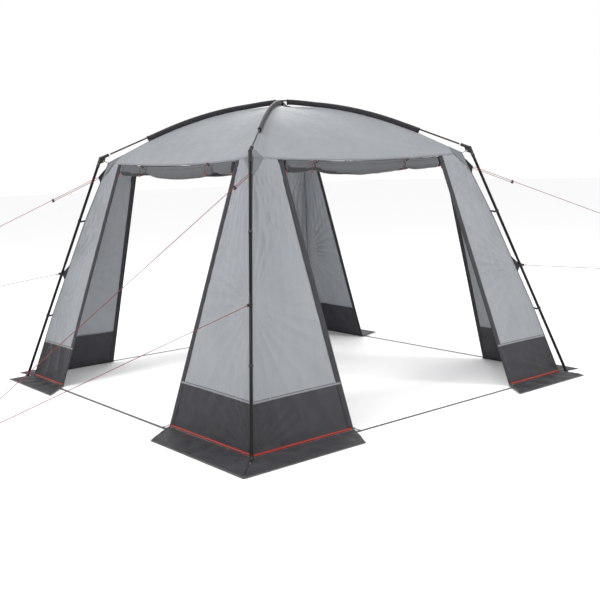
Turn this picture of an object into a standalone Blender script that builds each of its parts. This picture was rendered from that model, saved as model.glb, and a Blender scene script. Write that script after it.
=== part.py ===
"""Square dome shelter: two crossed roof poles, four splayed legs and a hung fabric canopy.

The shelter stands on +Z with its origin on the ground in the middle of the footprint.
Its four sides face -X (front_left), -Y (front_right), +Y (back_left) and +X (back_right).
Every size is in metres.
"""
import math

import bmesh
import bpy
from mathutils import Matrix, Vector

# Overall sizes
FOOT_HALF = 1.6  # from the middle to a leg's foot, along X and along Y
ELBOW_HALF_X = 1.092
ELBOW_HALF_Y = 1.019
POLE_TOP_Z = 2.226  # centre line of the lower roof pole where the two cross

# Roof poles
ROOF_POLE_D = 0.0125
POLE_CURVE = 0.207  # the pole drops by this much times the square of the distance
POLE_STRAIGHT_FROM = 0.95  # from here to the elbow the pole is straight
POLE_LIFT_REACH = 0.3  # the upper pole comes back to the common arc within this distance

# Legs and elbows
LEG_D = 0.022
LEG_WALL = 0.0012
LEG_PLUG = 0.045  # solid length at the foot of a leg
LEG_TRIM = 0.02  # extra length at the foot, cut off level with the ground
FIT = 0.0004  # clearance on radius between a tube and its socket
ELBOW_WALL = 0.0026  # round the leg's socket
ELBOW_BALL_EXTRA = 0.0016  # how much wider the ball is than the arms
ELBOW_ARM_STEP = 0.0024  # how much thinner the pole's arm is than the leg's
ELBOW_CORE = 0.003  # each arm starts this far from the bend, inside the ball
ELBOW_ARM = 0.075
ELBOW_WEB_REACH = 0.052  # how far the web fills the angle along each arm
ELBOW_WEB_FROM = 0.004
ELBOW_WEB_T = 0.009
ELBOW_EYE_D = 0.010
ELBOW_EYE_AT = 0.033
SOCKET_STOP = 0.020  # solid part of an elbow, measured from its bend
CUT_OVERRUN = 0.015  # how far a cutting shape runs past the face that it opens

# Fabric
CLOTH_T = 0.0015
SEAM_GAP = 0.0012  # half the gap between two panels along a ridge
CORNER_GAP = 0.003
EAVE_INSET_X = 0.047  # from an elbow's bend in to the fabric's top corner
EAVE_INSET_Y = 0.044
EAVE_DROP = 0.0355  # from an elbow's bend down to the fabric's top corner
EAVE_SAG = 0.035
EAVE_BOW = 0.030
SLEEVE_START = 0.050  # from the middle to the two ends of a pole sleeve
SLEEVE_END = 1.094
SLEEVE_HALF_H = 0.019
SLEEVE_SIDE_EASE = 0.00375  # room between a pole and its sleeve
SLEEVE_TOP_EASE = 0.00175
RIDGE_GAP = 0.0018  # between a sleeve and the roof cloth under it
WALL_FOOT_INSET = 0.045  # from a leg's foot in to the foot of the walls
WALL_FOOT_GAP = 0.0019  # the foot of a wall clears the skirt
WALL_EDGE_BOW = 0.028  # how far a wall's outer edge is drawn towards its leg
WALL_TOP_GAP = 0.004
DOOR_HALF = 0.78  # from the middle of a side to a doorway's edge, at the eave

# Where each wall is pegged down, from the middle of its side: the foot of its free edge
# and the outer corner of its skirt
WALL_PEGS = {
    ("front_left", "front"): (0.62, 0.81),
    ("front_left", "left"): (1.00, 0.80),
    ("front_right", "front"): (0.73, 0.87),
    ("front_right", "right"): (0.91, 0.77),
    ("back_left", "left"): (0.80, 0.86),
    ("back_left", "back"): (0.78, 0.86),
    ("back_right", "right"): (0.78, 0.86),
    ("back_right", "back"): (0.74, 0.82),
}

# Webbing on the ground from foot to foot
STRAP_W = 0.025
STRAP_T = 0.0015
STRAP_Z = 0.0004
STRAP_LEG_GAP = 0.004  # the webbing turns each corner just inside the leg

# Mud skirts, which lie outward on the ground
SKIRT_PAST_FOOT = 0.21  # from a leg's foot out to the edge of the skirt
SKIRT_END_BACK = 0.05  # how much narrower a skirt is where its corner is square
SKIRT_GAP = 0.0007  # between the webbing and the skirt on it
SKIRT_SLIT = 0.0015
SKIRT_SLIT_FROM = 0.02  # the slit starts this far out from the foot of the walls
LEG_NOTCH = 0.003  # clearance round a leg

# Rolled doors, their toggles and the zips
ROLL_GAP = 0.010
ROLL_H = 0.085
ROLL_T = 0.058
ROLL_LEAN = 0.25  # how much fuller the bundle is below its middle than above it
ROLL_END_GAP = 0.026
TOGGLE_L = 0.030
TOGGLE_D = 0.012
TOGGLE_AT = (-0.50, 0.40)  # along each side from its middle
TOGGLE_Z_DROP = 0.016
TOGGLE_GAP = 0.003
TOGGLE_LEAN = 35  # degrees off the level
ZIP_BODY = (0.009, 0.018, 0.007)  # along the side, down the edge, through the cloth
ZIP_PULL = (0.005, 0.026, 0.0018)
ZIP_DROP = 0.060  # from the eave down to a zip slider's top
ZIP_GAP = 0.0006

# Guy ropes: where each leaves its tab, the way it runs and how far
ROPE_D = 0.004
STRAND_GAP = 0.012  # between the two strands that go to a tensioner
BORE_CLEARANCE = 0.0006
TENSIONER_L = 0.014
TENSIONER_END_WALL = 0.0055  # past each strand
TENSIONER_FACE_WALL = 0.0025  # over each strand
TENSIONER_EDGE = 0.002
UPPER_GUYS = {
    "front": {"tab": (-1.105, -1.048, 1.690), "to": (-2.980, -1.048, 0.437), "slider": 0.168},
    "left": {"tab": (-1.116, 1.024, 1.670), "to": (-1.780, 1.688, 1.252), "slider": 0.432},
    "right": {"tab": (1.091, -1.052, 1.670), "to": (1.880, -1.842, 1.226), "slider": 0.331},
}
LOWER_GUYS = {
    "front": {"tab": (-1.384, -1.321, 0.880), "to": (-3.080, -1.321, 0.440)},
    "left": {"tab": (-1.376, 1.341, 0.880), "to": (-1.790, 1.755, 0.772)},
    "right": {"tab": (1.376, -1.341, 0.880), "to": (1.860, -1.825, 0.836)},
}

CORNERS = {"front": (-1, -1), "right": (1, -1), "back": (1, 1), "left": (-1, 1)}
SIDES = {
    "front_left": {"out": (-1, 0), "along": (0, 1), "ends": ("front", "left")},
    "front_right": {"out": (0, -1), "along": (1, 0), "ends": ("front", "right")},
    "back_left": {"out": (0, 1), "along": (1, 0), "ends": ("left", "back")},
    "back_right": {"out": (1, 0), "along": (0, 1), "ends": ("right", "back")},
}
WIDE_SKIRT_CORNERS = ("front", "back")

# Sizes that follow from the ones above
ELBOW_REACH = math.hypot(ELBOW_HALF_X, ELBOW_HALF_Y)
ELBOW_D = LEG_D + 2 * (FIT + ELBOW_WALL)
POLE_SLOPE = 2 * POLE_CURVE * POLE_STRAIGHT_FROM  # of its straight ends
STRAIGHT_RUN = ELBOW_REACH - POLE_STRAIGHT_FROM
ELBOW_Z = POLE_TOP_Z - POLE_CURVE * POLE_STRAIGHT_FROM**2 - POLE_SLOPE * STRAIGHT_RUN
EAVE_HALF_X = ELBOW_HALF_X - EAVE_INSET_X
EAVE_HALF_Y = ELBOW_HALF_Y - EAVE_INSET_Y
EAVE_REACH = math.hypot(EAVE_HALF_X, EAVE_HALF_Y)
EAVE_Z = ELBOW_Z - EAVE_DROP
SLEEVE_HALF_W = ROOF_POLE_D / 2 + SLEEVE_SIDE_EASE + CLOTH_T
SLEEVE_DROP = SLEEVE_HALF_H - (ROOF_POLE_D / 2 + SLEEVE_TOP_EASE + CLOTH_T)
RIDGE_DROP = (SLEEVE_DROP + SLEEVE_HALF_H) * math.hypot(1, POLE_SLOPE) + RIDGE_GAP
WALL_FOOT_HALF = FOOT_HALF - WALL_FOOT_INSET
SKIRT_OUT = FOOT_HALF + SKIRT_PAST_FOOT
SKIRT_Z = STRAP_Z + STRAP_T + SKIRT_GAP
WALL_LIFT = SKIRT_Z + CLOTH_T + WALL_FOOT_GAP
TENSIONER = (
    TENSIONER_L,
    STRAND_GAP + ROPE_D + 2 * TENSIONER_END_WALL,
    ROPE_D + 2 * TENSIONER_FACE_WALL,
)


def clear_scene():
    for thing in list(bpy.data.objects):
        bpy.data.objects.remove(thing, do_unlink=True)


def finish_material(name, colour, roughness, metallic=0.0):
    """A plain Principled material from an sRGB hex colour."""
    linear = []
    for at in (0, 2, 4):
        value = int(colour[at : at + 2], 16) / 255
        linear.append(value / 12.92 if value <= 0.04045 else ((value + 0.055) / 1.055) ** 2.4)
    material = bpy.data.materials.new(name)
    material.use_nodes = True
    shader = material.node_tree.nodes["Principled BSDF"]
    shader.inputs["Base Color"].default_value = (*linear, 1)
    shader.inputs["Roughness"].default_value = roughness
    shader.inputs["Metallic"].default_value = metallic
    return material


def make_materials():
    return {
        "light_cloth": finish_material("light_cloth", "A6A9AD", 0.75),
        "dark_cloth": finish_material("dark_cloth", "4A4A4E", 0.8),
        "painted_tube": finish_material("painted_tube", "141416", 0.35, 0.3),
        "glass_fibre": finish_material("glass_fibre", "17171A", 0.3),
        "moulded_black": finish_material("moulded_black", "1E1E20", 0.5),
        "webbing": finish_material("webbing", "1B1B1D", 0.85),
        "red_rope": finish_material("red_rope", "B3392E", 0.8),
    }


def place(name, mesh, material, matrix=None):
    """A new object that shows a mesh."""
    thing = bpy.data.objects.new(name, mesh)
    bpy.context.scene.collection.objects.link(thing)
    if not mesh.materials:
        mesh.materials.append(material)
    if matrix is not None:
        thing.matrix_world = matrix
    return thing


def mesh_of(name, points, faces):
    mesh = bpy.data.meshes.new(name)
    mesh.from_pydata([tuple(p) for p in points], [], faces)
    mesh.update()
    return mesh


def thicken(thing, thickness):
    """Give an open sheet its thickness on the side away from its normals."""
    solid = thing.modifiers.new("cloth thickness", "SOLIDIFY")
    solid.thickness = thickness
    solid.offset = -1
    return solid


def grid_sheet(name, rows, material):
    """A sheet through rows of points, with its normals as the rows turn."""
    wide = len(rows[0])
    points = [point for row in rows for point in row]
    faces = []
    for i in range(len(rows) - 1):
        for j in range(wide - 1):
            a = i * wide + j
            faces.append((a, a + 1, a + wide + 1, a + wide))
    return place(name, mesh_of(name, points, faces), material)


def corner_way(corner, half_x, half_y):
    """Unit vector in plan from the middle towards a corner of a rectangle."""
    sign_x, sign_y = CORNERS[corner]
    return Vector((sign_x * half_x, sign_y * half_y, 0)).normalized()


def side_point(side, along, out, z):
    ways = SIDES[side]
    return Vector(
        (
            ways["along"][0] * along + ways["out"][0] * out,
            ways["along"][1] * along + ways["out"][1] * out,
            z,
        )
    )


def eave_sizes(side):
    """Half length of a side's eave, and its distance from the middle."""
    if SIDES[side]["out"][0]:
        return EAVE_HALF_Y, EAVE_HALF_X
    return EAVE_HALF_X, EAVE_HALF_Y


def eave_point(side, along, drop=0.0):
    """A point of the eave, which sags and bows in between its corners."""
    half, out = eave_sizes(side)
    slack = max(0.0, 1 - (along / half) ** 2)
    return side_point(side, along, out - EAVE_BOW * slack, EAVE_Z - EAVE_SAG * slack - drop)


def end_sign(side, corner):
    return -1 if SIDES[side]["ends"][0] == corner else 1


def pole_z(distance, lift=0.0):
    """Height of a roof pole's centre line at a distance from the middle."""
    bent = min(distance, POLE_STRAIGHT_FROM)
    drop = POLE_CURVE * bent**2 + POLE_SLOPE * (distance - bent)
    near = max(0.0, 1 - distance / POLE_LIFT_REACH)
    return POLE_TOP_Z - drop + lift * near**2 * (3 - 2 * near)


def upper_lift(corner):
    """The pole from left to right passes over the other one."""
    return ROOF_POLE_D + FIT if corner in ("left", "right") else 0.0


def elbow_bend(corner):
    way = corner_way(corner, ELBOW_HALF_X, ELBOW_HALF_Y)
    return way * ELBOW_REACH + Vector((0, 0, ELBOW_Z))


def foot_of(corner):
    sign_x, sign_y = CORNERS[corner]
    return Vector((sign_x * FOOT_HALF, sign_y * FOOT_HALF, 0))


def pole_way(corner):
    """Unit vector along a pole from its elbow up towards the middle."""
    way = corner_way(corner, ELBOW_HALF_X, ELBOW_HALF_Y)
    return Vector((-way.x, -way.y, POLE_SLOPE)).normalized()


def leg_way(corner):
    return (foot_of(corner) - elbow_bend(corner)).normalized()


def foot_radius():
    """Longest radius of the slanted cut through a leg at the ground."""
    return LEG_D / 2 / abs(leg_way("back").z)


def pole_point(corner, distance):
    way = corner_way(corner, ELBOW_HALF_X, ELBOW_HALF_Y)
    return way * distance + Vector((0, 0, pole_z(distance, upper_lift(corner))))


def pole_frame(corner, distance):
    """A pole's centre at a distance from the middle, and its square upward way there."""
    along = corner_way(corner, ELBOW_HALF_X, ELBOW_HALF_Y)
    across = Vector((-along.y, along.x, 0))
    step = 0.01
    ahead = pole_point(corner, distance + step) - pole_point(corner, distance - step)
    return pole_point(corner, distance), across, ahead.cross(across).normalized()


def spline_tube(name, points, diameter, sides_level, material):
    """A solid round bar along a list of points."""
    curve = bpy.data.curves.new(name, "CURVE")
    curve.dimensions = "3D"
    curve.bevel_depth = diameter / 2
    curve.bevel_resolution = sides_level
    curve.use_fill_caps = True
    spline = curve.splines.new("POLY")
    spline.points.add(len(points) - 1)
    for knot, point in zip(spline.points, points):
        knot.co = (*point, 1)
    curve.materials.append(material)
    thing = bpy.data.objects.new(name, curve)
    bpy.context.scene.collection.objects.link(thing)
    return thing


def make_roof_pole(name, corners, material):
    """One pole from elbow to elbow over the top."""
    stop = SOCKET_STOP + 2 * FIT
    bend_steps = 12
    near = [POLE_STRAIGHT_FROM * i / bend_steps for i in range(1, bend_steps + 1)]
    first, second = corners
    far_ends = [elbow_bend(c) + pole_way(c) * stop for c in corners]
    points = [far_ends[0]]
    points += [pole_point(first, d) for d in reversed(near)]
    points += [pole_point(first, 0)]
    points += [pole_point(second, d) for d in near]
    points += [far_ends[1]]
    return spline_tube(name, points, ROOF_POLE_D, 3, material)


def ring_faces(start, count, step):
    """Quads from one ring of points to the next one."""
    return [
        (start + i, start + (i + 1) % count, start + step + (i + 1) % count, start + step + i)
        for i in range(count)
    ]


def make_sleeve(corner, material):
    """An oval cloth tunnel round one arm of a roof pole, open at both ends."""
    name = f"pole_sleeve_{corner}"
    steps, sides = 12, 16
    points = []
    for i in range(steps + 1):
        distance = SLEEVE_START + (SLEEVE_END - SLEEVE_START) * i / steps
        centre, across, up = pole_frame(corner, distance)
        middle = centre - up * SLEEVE_DROP
        for inset in (0.0, CLOTH_T):
            for k in range(sides):
                turn = 2 * math.pi * k / sides
                points.append(
                    middle
                    + across * (SLEEVE_HALF_W - inset) * math.cos(turn)
                    + up * (SLEEVE_HALF_H - inset) * math.sin(turn)
                )
    ring = 2 * sides
    faces = []
    for i in range(steps):
        faces += ring_faces(i * ring, sides, ring)
        faces += [tuple(reversed(f)) for f in ring_faces(i * ring + sides, sides, ring)]
    last = steps * ring
    faces += [tuple(reversed(f)) for f in ring_faces(0, sides, sides)]
    faces += ring_faces(last, sides, sides)
    thing = place(name, mesh_of(name, points, faces), material)
    face_out(thing.data)
    return thing


def face_out(mesh):
    """Turn every face of a closed mesh outward."""
    shape = bmesh.new()
    shape.from_mesh(mesh)
    bmesh.ops.recalc_face_normals(shape, faces=shape.faces)
    shape.to_mesh(mesh)
    shape.free()


def ridge_point(corner, share):
    """A point of the roof cloth's ridge: under the pole, then straight to the eave corner."""
    distance = share * EAVE_REACH
    way = corner_way(corner, EAVE_HALF_X, EAVE_HALF_Y)
    if distance <= SLEEVE_END:
        z = pole_z(distance) - RIDGE_DROP
    else:
        start = pole_z(SLEEVE_END) - RIDGE_DROP
        z = start + (EAVE_Z - start) * (distance - SLEEVE_END) / (EAVE_REACH - SLEEVE_END)
    return way * distance + Vector((0, 0, z))


def make_roof_panel(side, material):
    """One triangular gore of the roof, saddle shaped between its two ridges."""
    name = f"roof_panel_{side}"
    first, second = SIDES[side]["ends"]
    along = Vector((*SIDES[side]["along"], 0))
    out = Vector((*SIDES[side]["out"], 0))
    wide, deep = 8, 9
    points = [ridge_point(first, 0) + out * 2 * SEAM_GAP]
    for i in range(1, deep + 1):
        share = i / deep
        if i == deep - 2:
            share = SLEEVE_END / EAVE_REACH
        start = ridge_point(first, share) + along * SEAM_GAP
        end = ridge_point(second, share) - along * SEAM_GAP
        for j in range(wide + 1):
            part = j / wide
            slack = (1 - (2 * part - 1) ** 2) * share**2
            point = start.lerp(end, part)
            points.append(point - out * EAVE_BOW * slack - Vector((0, 0, EAVE_SAG * slack)))
    row = wide + 1
    faces = [(0, 1 + j, 2 + j) for j in range(wide)]
    for i in range(deep - 1):
        for j in range(wide):
            a = 1 + i * row + j
            faces.append((a, a + row, a + row + 1, a + 1))
    mesh = mesh_of(name, points, faces)
    if mesh.polygons[0].normal.z < 0:
        mesh.flip_normals()
    thing = place(name, mesh, material)
    thicken(thing, CLOTH_T)
    return thing


def wall_corners(side, corner):
    """The four corners of one wall: at the corner and at the doorway, low and high."""
    sign = end_sign(side, corner)
    half, _ = eave_sizes(side)
    door_foot, _ = WALL_PEGS[(side, corner)]
    low_corner = side_point(side, sign * (WALL_FOOT_HALF - CORNER_GAP), WALL_FOOT_HALF, WALL_LIFT)
    low_door = side_point(side, sign * door_foot, WALL_FOOT_HALF, WALL_LIFT)
    high_corner = eave_point(side, sign * (half - CORNER_GAP), WALL_TOP_GAP)
    high_door = eave_point(side, sign * DOOR_HALF, WALL_TOP_GAP)
    return low_corner, low_door, high_corner, high_door


def make_wall(side, corner, material):
    """One side of a corner panel, a sheet from the leg to the doorway."""
    name = f"wall_{corner}_{side}"
    low_corner, low_door, high_corner, high_door = wall_corners(side, corner)
    outward = Vector((*CORNERS[corner], 0)).normalized()
    rows = []
    steps = 6
    for i in range(steps + 1):
        part = i / steps
        at_corner = low_corner.lerp(high_corner, part) + outward * WALL_EDGE_BOW * 4 * part * (1 - part)
        at_door = low_door.lerp(high_door, part)
        rows.append([at_corner.lerp(at_door, j / 2) for j in range(3)])
    thing = grid_sheet(name, rows, material)
    out = Vector((*SIDES[side]["out"], 0))
    if thing.data.polygons[0].normal.dot(out) < 0:
        thing.data.flip_normals()
    thicken(thing, CLOTH_T)
    return thing


def skirt_outline(side, corner):
    """Plan of half a skirt, from its inner corner round by the doorway to its outer corner."""
    sign = end_sign(side, corner)
    foot, far = WALL_PEGS[(side, corner)]
    inner = WALL_FOOT_HALF + FIT
    wide = corner in WIDE_SKIRT_CORNERS
    reach = SKIRT_OUT if wide else FOOT_HALF
    outer = SKIRT_OUT if wide else SKIRT_OUT - SKIRT_END_BACK
    slit = SKIRT_SLIT if wide else 0.0
    return [
        side_point(side, sign * foot, inner, 0),
        side_point(side, sign * far, outer, 0),
        side_point(side, sign * (reach - slit), outer, 0),
    ]


def make_skirt(corner, material):
    """The flat skirt round one corner, slit from the leg outward and notched round it."""
    name = f"skirt_{corner}"
    sides = [s for s in SIDES if corner in SIDES[s]["ends"]]
    halves = [skirt_outline(side, corner) for side in sides]
    inner = WALL_FOOT_HALF + FIT
    sign_x, sign_y = CORNERS[corner]
    slit_from = inner + SKIRT_SLIT_FROM
    points = [Vector((sign_x * inner, sign_y * inner, 0))]
    points += halves[0]
    points += [Vector((sign_x * slit_from, sign_y * slit_from, 0))]
    points += list(reversed(halves[1]))
    mesh = mesh_of(name, [p + Vector((0, 0, SKIRT_Z)) for p in points], [tuple(range(len(points)))])
    if mesh.polygons[0].normal.z < 0:
        mesh.flip_normals()
    thing = place(name, mesh, material)
    thing.location.z += CLOTH_T
    thicken(thing, CLOTH_T)
    notch = bpy.data.meshes.new(f"leg_notch_{corner}")
    shape = bmesh.new()
    radius = foot_radius() + LEG_NOTCH
    bmesh.ops.create_cone(
        shape, cap_ends=True, segments=20, radius1=radius, radius2=radius, depth=2 * CUT_OVERRUN
    )
    shape.to_mesh(notch)
    shape.free()
    cutter = place(f"leg_notch_{corner}", notch, material, Matrix.Translation(foot_of(corner)))
    cut(thing, cutter)
    return thing


def cut(thing, cutter, operation="DIFFERENCE"):
    """Cut one object with another, which stays out of the model itself."""
    cutter.hide_render = True
    cutter.display_type = "WIRE"
    step = thing.modifiers.new(f"{operation.lower()} {cutter.name}", "BOOLEAN")
    step.operation = operation
    step.solver = "EXACT"
    step.object = cutter
    return step


def strap_ring(inset, z):
    """Eight points of the webbing loop, which cuts each corner just inside the leg."""
    half = FOOT_HALF + STRAP_W / 2 - inset
    corner_sum = 2 * FOOT_HALF - math.sqrt(2) * (foot_radius() + STRAP_LEG_GAP + inset)
    turn = corner_sum - half
    points = []
    for x, y in CORNERS.values():
        pair = [Vector((x * half, y * turn, z)), Vector((x * turn, y * half, z))]
        points += pair if x * y > 0 else reversed(pair)
    return points


def make_ground_strap(material):
    """One loop of webbing flat on the ground, past the four feet."""
    name = "ground_strap"
    points = []
    for z in (STRAP_Z, STRAP_Z + STRAP_T):
        for inset in (0, STRAP_W):
            points += strap_ring(inset, z)
    faces = []
    count = 8
    for i in range(count):
        j = (i + 1) % count
        low_out, low_in, high_out, high_in = ((i + k * count, j + k * count) for k in range(4))
        faces.append((*low_out, *reversed(high_out)))
        faces.append((*low_in, *reversed(high_in)))
        faces.append((*low_out, *reversed(low_in)))
        faces.append((*high_out, *reversed(high_in)))
    thing = place(name, mesh_of(name, points, faces), material)
    face_out(thing.data)
    return thing


def cylinder(radius, start, end, segments=24):
    """A closed cylinder mesh between two points."""
    shape = bmesh.new()
    way = end - start
    turn = way.to_track_quat("Z", "Y").to_matrix().to_4x4()
    matrix = Matrix.Translation((start + end) / 2) @ turn
    bmesh.ops.create_cone(
        shape,
        cap_ends=True,
        segments=segments,
        radius1=radius,
        radius2=radius,
        depth=way.length,
        matrix=matrix,
    )
    mesh = bpy.data.meshes.new("cylinder")
    shape.to_mesh(mesh)
    shape.free()
    return mesh


def arm_ways():
    """The two arms of an elbow in its own plane: along +X half-turned each way."""
    opening = pole_way("back").angle(leg_way("back"))
    return (
        Vector((math.cos(opening / 2), math.sin(opening / 2), 0)),
        Vector((math.cos(opening / 2), -math.sin(opening / 2), 0)),
    )


def make_elbow_mesh(material):
    """The moulded elbow: two sockets on a ball, with a web and its eye between them.

    It is made in its own plane, with the bend at the origin and the web towards +X.
    """
    to_pole, to_leg = arm_ways()
    leg_arm = cylinder(ELBOW_D / 2, to_leg * ELBOW_CORE, to_leg * ELBOW_ARM)
    pole_arm = cylinder((ELBOW_D - ELBOW_ARM_STEP) / 2, to_pole * ELBOW_CORE, to_pole * ELBOW_ARM)
    base = place("elbow_shape", leg_arm, material)
    arm = place("elbow_pole_arm", pole_arm, material)
    ball_mesh = bpy.data.meshes.new("elbow_ball")
    shape = bmesh.new()
    bmesh.ops.create_uvsphere(
        shape, u_segments=20, v_segments=12, radius=(ELBOW_D + ELBOW_BALL_EXTRA) / 2
    )
    shape.to_mesh(ball_mesh)
    shape.free()
    ball = place("elbow_ball", ball_mesh, material)
    web_points = [
        Vector((ELBOW_WEB_FROM, 0, 0)),
        to_pole * ELBOW_WEB_REACH,
        Vector((ELBOW_EYE_AT + ELBOW_EYE_D, 0, 0)),
        to_leg * ELBOW_WEB_REACH,
    ]
    low = [p - Vector((0, 0, ELBOW_WEB_T / 2)) for p in web_points]
    high = [p + Vector((0, 0, ELBOW_WEB_T / 2)) for p in web_points]
    faces = [(3, 2, 1, 0), (4, 5, 6, 7)]
    faces += [(i, (i + 1) % 4, 4 + (i + 1) % 4, 4 + i) for i in range(4)]
    web = place("elbow_web", mesh_of("elbow_web", low + high, faces), material)
    face_out(web.data)
    eye_at = Vector((ELBOW_EYE_AT, 0, 0))
    tall = Vector((0, 0, ELBOW_D))
    eye = place("elbow_eye", cylinder(ELBOW_EYE_D / 2, eye_at - tall, eye_at + tall, 16), material)
    bore_end = ELBOW_ARM + CUT_OVERRUN
    leg_hole = cylinder(LEG_D / 2 + FIT, to_leg * SOCKET_STOP, to_leg * bore_end)
    leg_bore = place("elbow_leg_bore", leg_hole, material)
    pole_hole = cylinder(ROOF_POLE_D / 2 + FIT, to_pole * SOCKET_STOP, to_pole * bore_end, 16)
    pole_bore = place("elbow_pole_bore", pole_hole, material)
    for added in (arm, ball, web):
        cut(base, added, "UNION")
    for removed in (leg_bore, pole_bore, eye):
        cut(base, removed)
    bpy.context.view_layer.update()
    seen = base.evaluated_get(bpy.context.evaluated_depsgraph_get())
    mesh = bpy.data.meshes.new_from_object(seen)
    mesh.name = "elbow"
    for helper in (base, arm, ball, web, eye, leg_bore, pole_bore):
        bpy.data.objects.remove(helper, do_unlink=True)
    return mesh


def elbow_matrix(corner):
    """Turn the elbow so that its two arms lie along the pole and the leg."""
    to_pole, to_leg = pole_way(corner), leg_way(corner)
    middle = (to_pole + to_leg).normalized()
    across = (to_pole - to_leg).normalized()
    normal = middle.cross(across)
    turn = Matrix((middle, across, normal)).transposed().to_4x4()
    return Matrix.Translation(elbow_bend(corner)) @ turn


def make_leg_mesh():
    """A steel tube with a solid foot, cut level with the ground; +X is the outward lean."""
    up = -leg_way("back")
    lean = math.hypot(up.x, up.y)
    axis = Vector((-lean, 0, up.z))
    length = (elbow_bend("back") - foot_of("back")).length - SOCKET_STOP - 2 * FIT
    sides = 20
    outer, inner = LEG_D / 2, LEG_D / 2 - LEG_WALL
    side_a = Vector((0, 1, 0))
    side_b = axis.cross(side_a)
    stations = [(outer, -LEG_TRIM), (outer, length), (inner, length), (inner, LEG_PLUG)]
    points = []
    for radius, along in stations:
        for k in range(sides):
            turn = 2 * math.pi * k / sides
            points.append(
                axis * along + (side_a * math.cos(turn) + side_b * math.sin(turn)) * radius
            )
    faces = []
    for i in range(len(stations) - 1):
        faces += ring_faces(i * sides, sides, sides)
    faces.append(tuple(reversed(range(sides))))
    faces.append(tuple(range(3 * sides, 4 * sides)))
    mesh = mesh_of("leg", points, faces)
    shape = bmesh.new()
    shape.from_mesh(mesh)
    every = list(shape.verts) + list(shape.edges) + list(shape.faces)
    cut_edges = bmesh.ops.bisect_plane(
        shape, geom=every, plane_co=(0, 0, 0), plane_no=(0, 0, -1), clear_outer=True
    )["geom_cut"]
    bmesh.ops.edgeloop_fill(
        shape, edges=[e for e in cut_edges if isinstance(e, bmesh.types.BMEdge)]
    )
    bmesh.ops.recalc_face_normals(shape, faces=shape.faces)
    shape.to_mesh(mesh)
    shape.free()
    return mesh


def leg_matrix(corner):
    out = foot_of(corner) - elbow_bend(corner)
    return Matrix.Translation(foot_of(corner)) @ Matrix.Rotation(math.atan2(out.y, out.x), 4, "Z")


def make_door_roll(side, material):
    """A rolled-up door hung under the eave, an oval bundle that follows its sag."""
    name = f"door_roll_{side}"
    steps, sides = 10, 12
    end = DOOR_HALF - ROLL_END_GAP
    along = Vector((*SIDES[side]["along"], 0))
    out = Vector((*SIDES[side]["out"], 0))
    points = []
    for i in range(steps + 1):
        at = -end + 2 * end * i / steps
        middle = eave_point(side, at, CLOTH_T + ROLL_GAP + ROLL_H / 2)
        for k in range(sides):
            turn = 2 * math.pi * k / sides
            lean = 1 - ROLL_LEAN * math.sin(turn)
            points.append(
                middle
                + out * ROLL_T / 2 * lean * math.cos(turn)
                + Vector((0, 0, ROLL_H / 2 * math.sin(turn)))
            )
    faces = []
    for i in range(steps):
        faces += ring_faces(i * sides, sides, sides)
    faces.append(tuple(range(sides)))
    faces.append(tuple(reversed(range(steps * sides, (steps + 1) * sides))))
    thing = place(name, mesh_of(name, points, faces), material)
    face_out(thing.data)
    return thing


def turned_mesh(name, profile, sides):
    """A closed turned shape about Z from (radius, height) pairs, capped at both ends."""
    points = []
    for radius, height in profile:
        for k in range(sides):
            turn = 2 * math.pi * k / sides
            points.append(Vector((radius * math.cos(turn), radius * math.sin(turn), height)))
    faces = []
    for i in range(len(profile) - 1):
        faces += ring_faces(i * sides, sides, sides)
    faces.append(tuple(reversed(range(sides))))
    faces.append(tuple(range((len(profile) - 1) * sides, len(profile) * sides)))
    mesh = mesh_of(name, points, faces)
    face_out(mesh)
    return mesh


def make_toggle_mesh():
    """A barrel toggle with a waist for its cord."""
    half, radius = TOGGLE_L / 2, TOGGLE_D / 2
    profile = [
        (radius * 0.7, -half),
        (radius, -half * 0.8),
        (radius, -half * 0.3),
        (radius * 0.72, -half * 0.12),
        (radius * 0.72, half * 0.12),
        (radius, half * 0.3),
        (radius, half * 0.8),
        (radius * 0.7, half),
    ]
    return turned_mesh("toggle", profile, 12)


def toggle_matrix(side, along):
    """A toggle lies against the roll's outer face, leaning a little."""
    roll_face = ROLL_T / 2 * (1 + ROLL_LEAN) + TOGGLE_D / 2 + TOGGLE_GAP
    out = Vector((*SIDES[side]["out"], 0))
    centre = eave_point(side, along, TOGGLE_Z_DROP) + out * roll_face
    level = Vector((*SIDES[side]["along"], 0))
    lean = math.radians(TOGGLE_LEAN)
    axis = level * math.cos(lean) + Vector((0, 0, math.sin(lean)))
    turn = Matrix((out, axis.cross(out), axis)).transposed().to_4x4()
    return Matrix.Translation(centre) @ turn


def box_points(size):
    """Eight corners of a box about the origin, with x changing fastest."""
    half = Vector(size) / 2
    signs = [(x, y, z) for z in (-1, 1) for y in (-1, 1) for x in (-1, 1)]
    return [Vector((x * half.x, y * half.y, z * half.z)) for x, y, z in signs]


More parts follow.
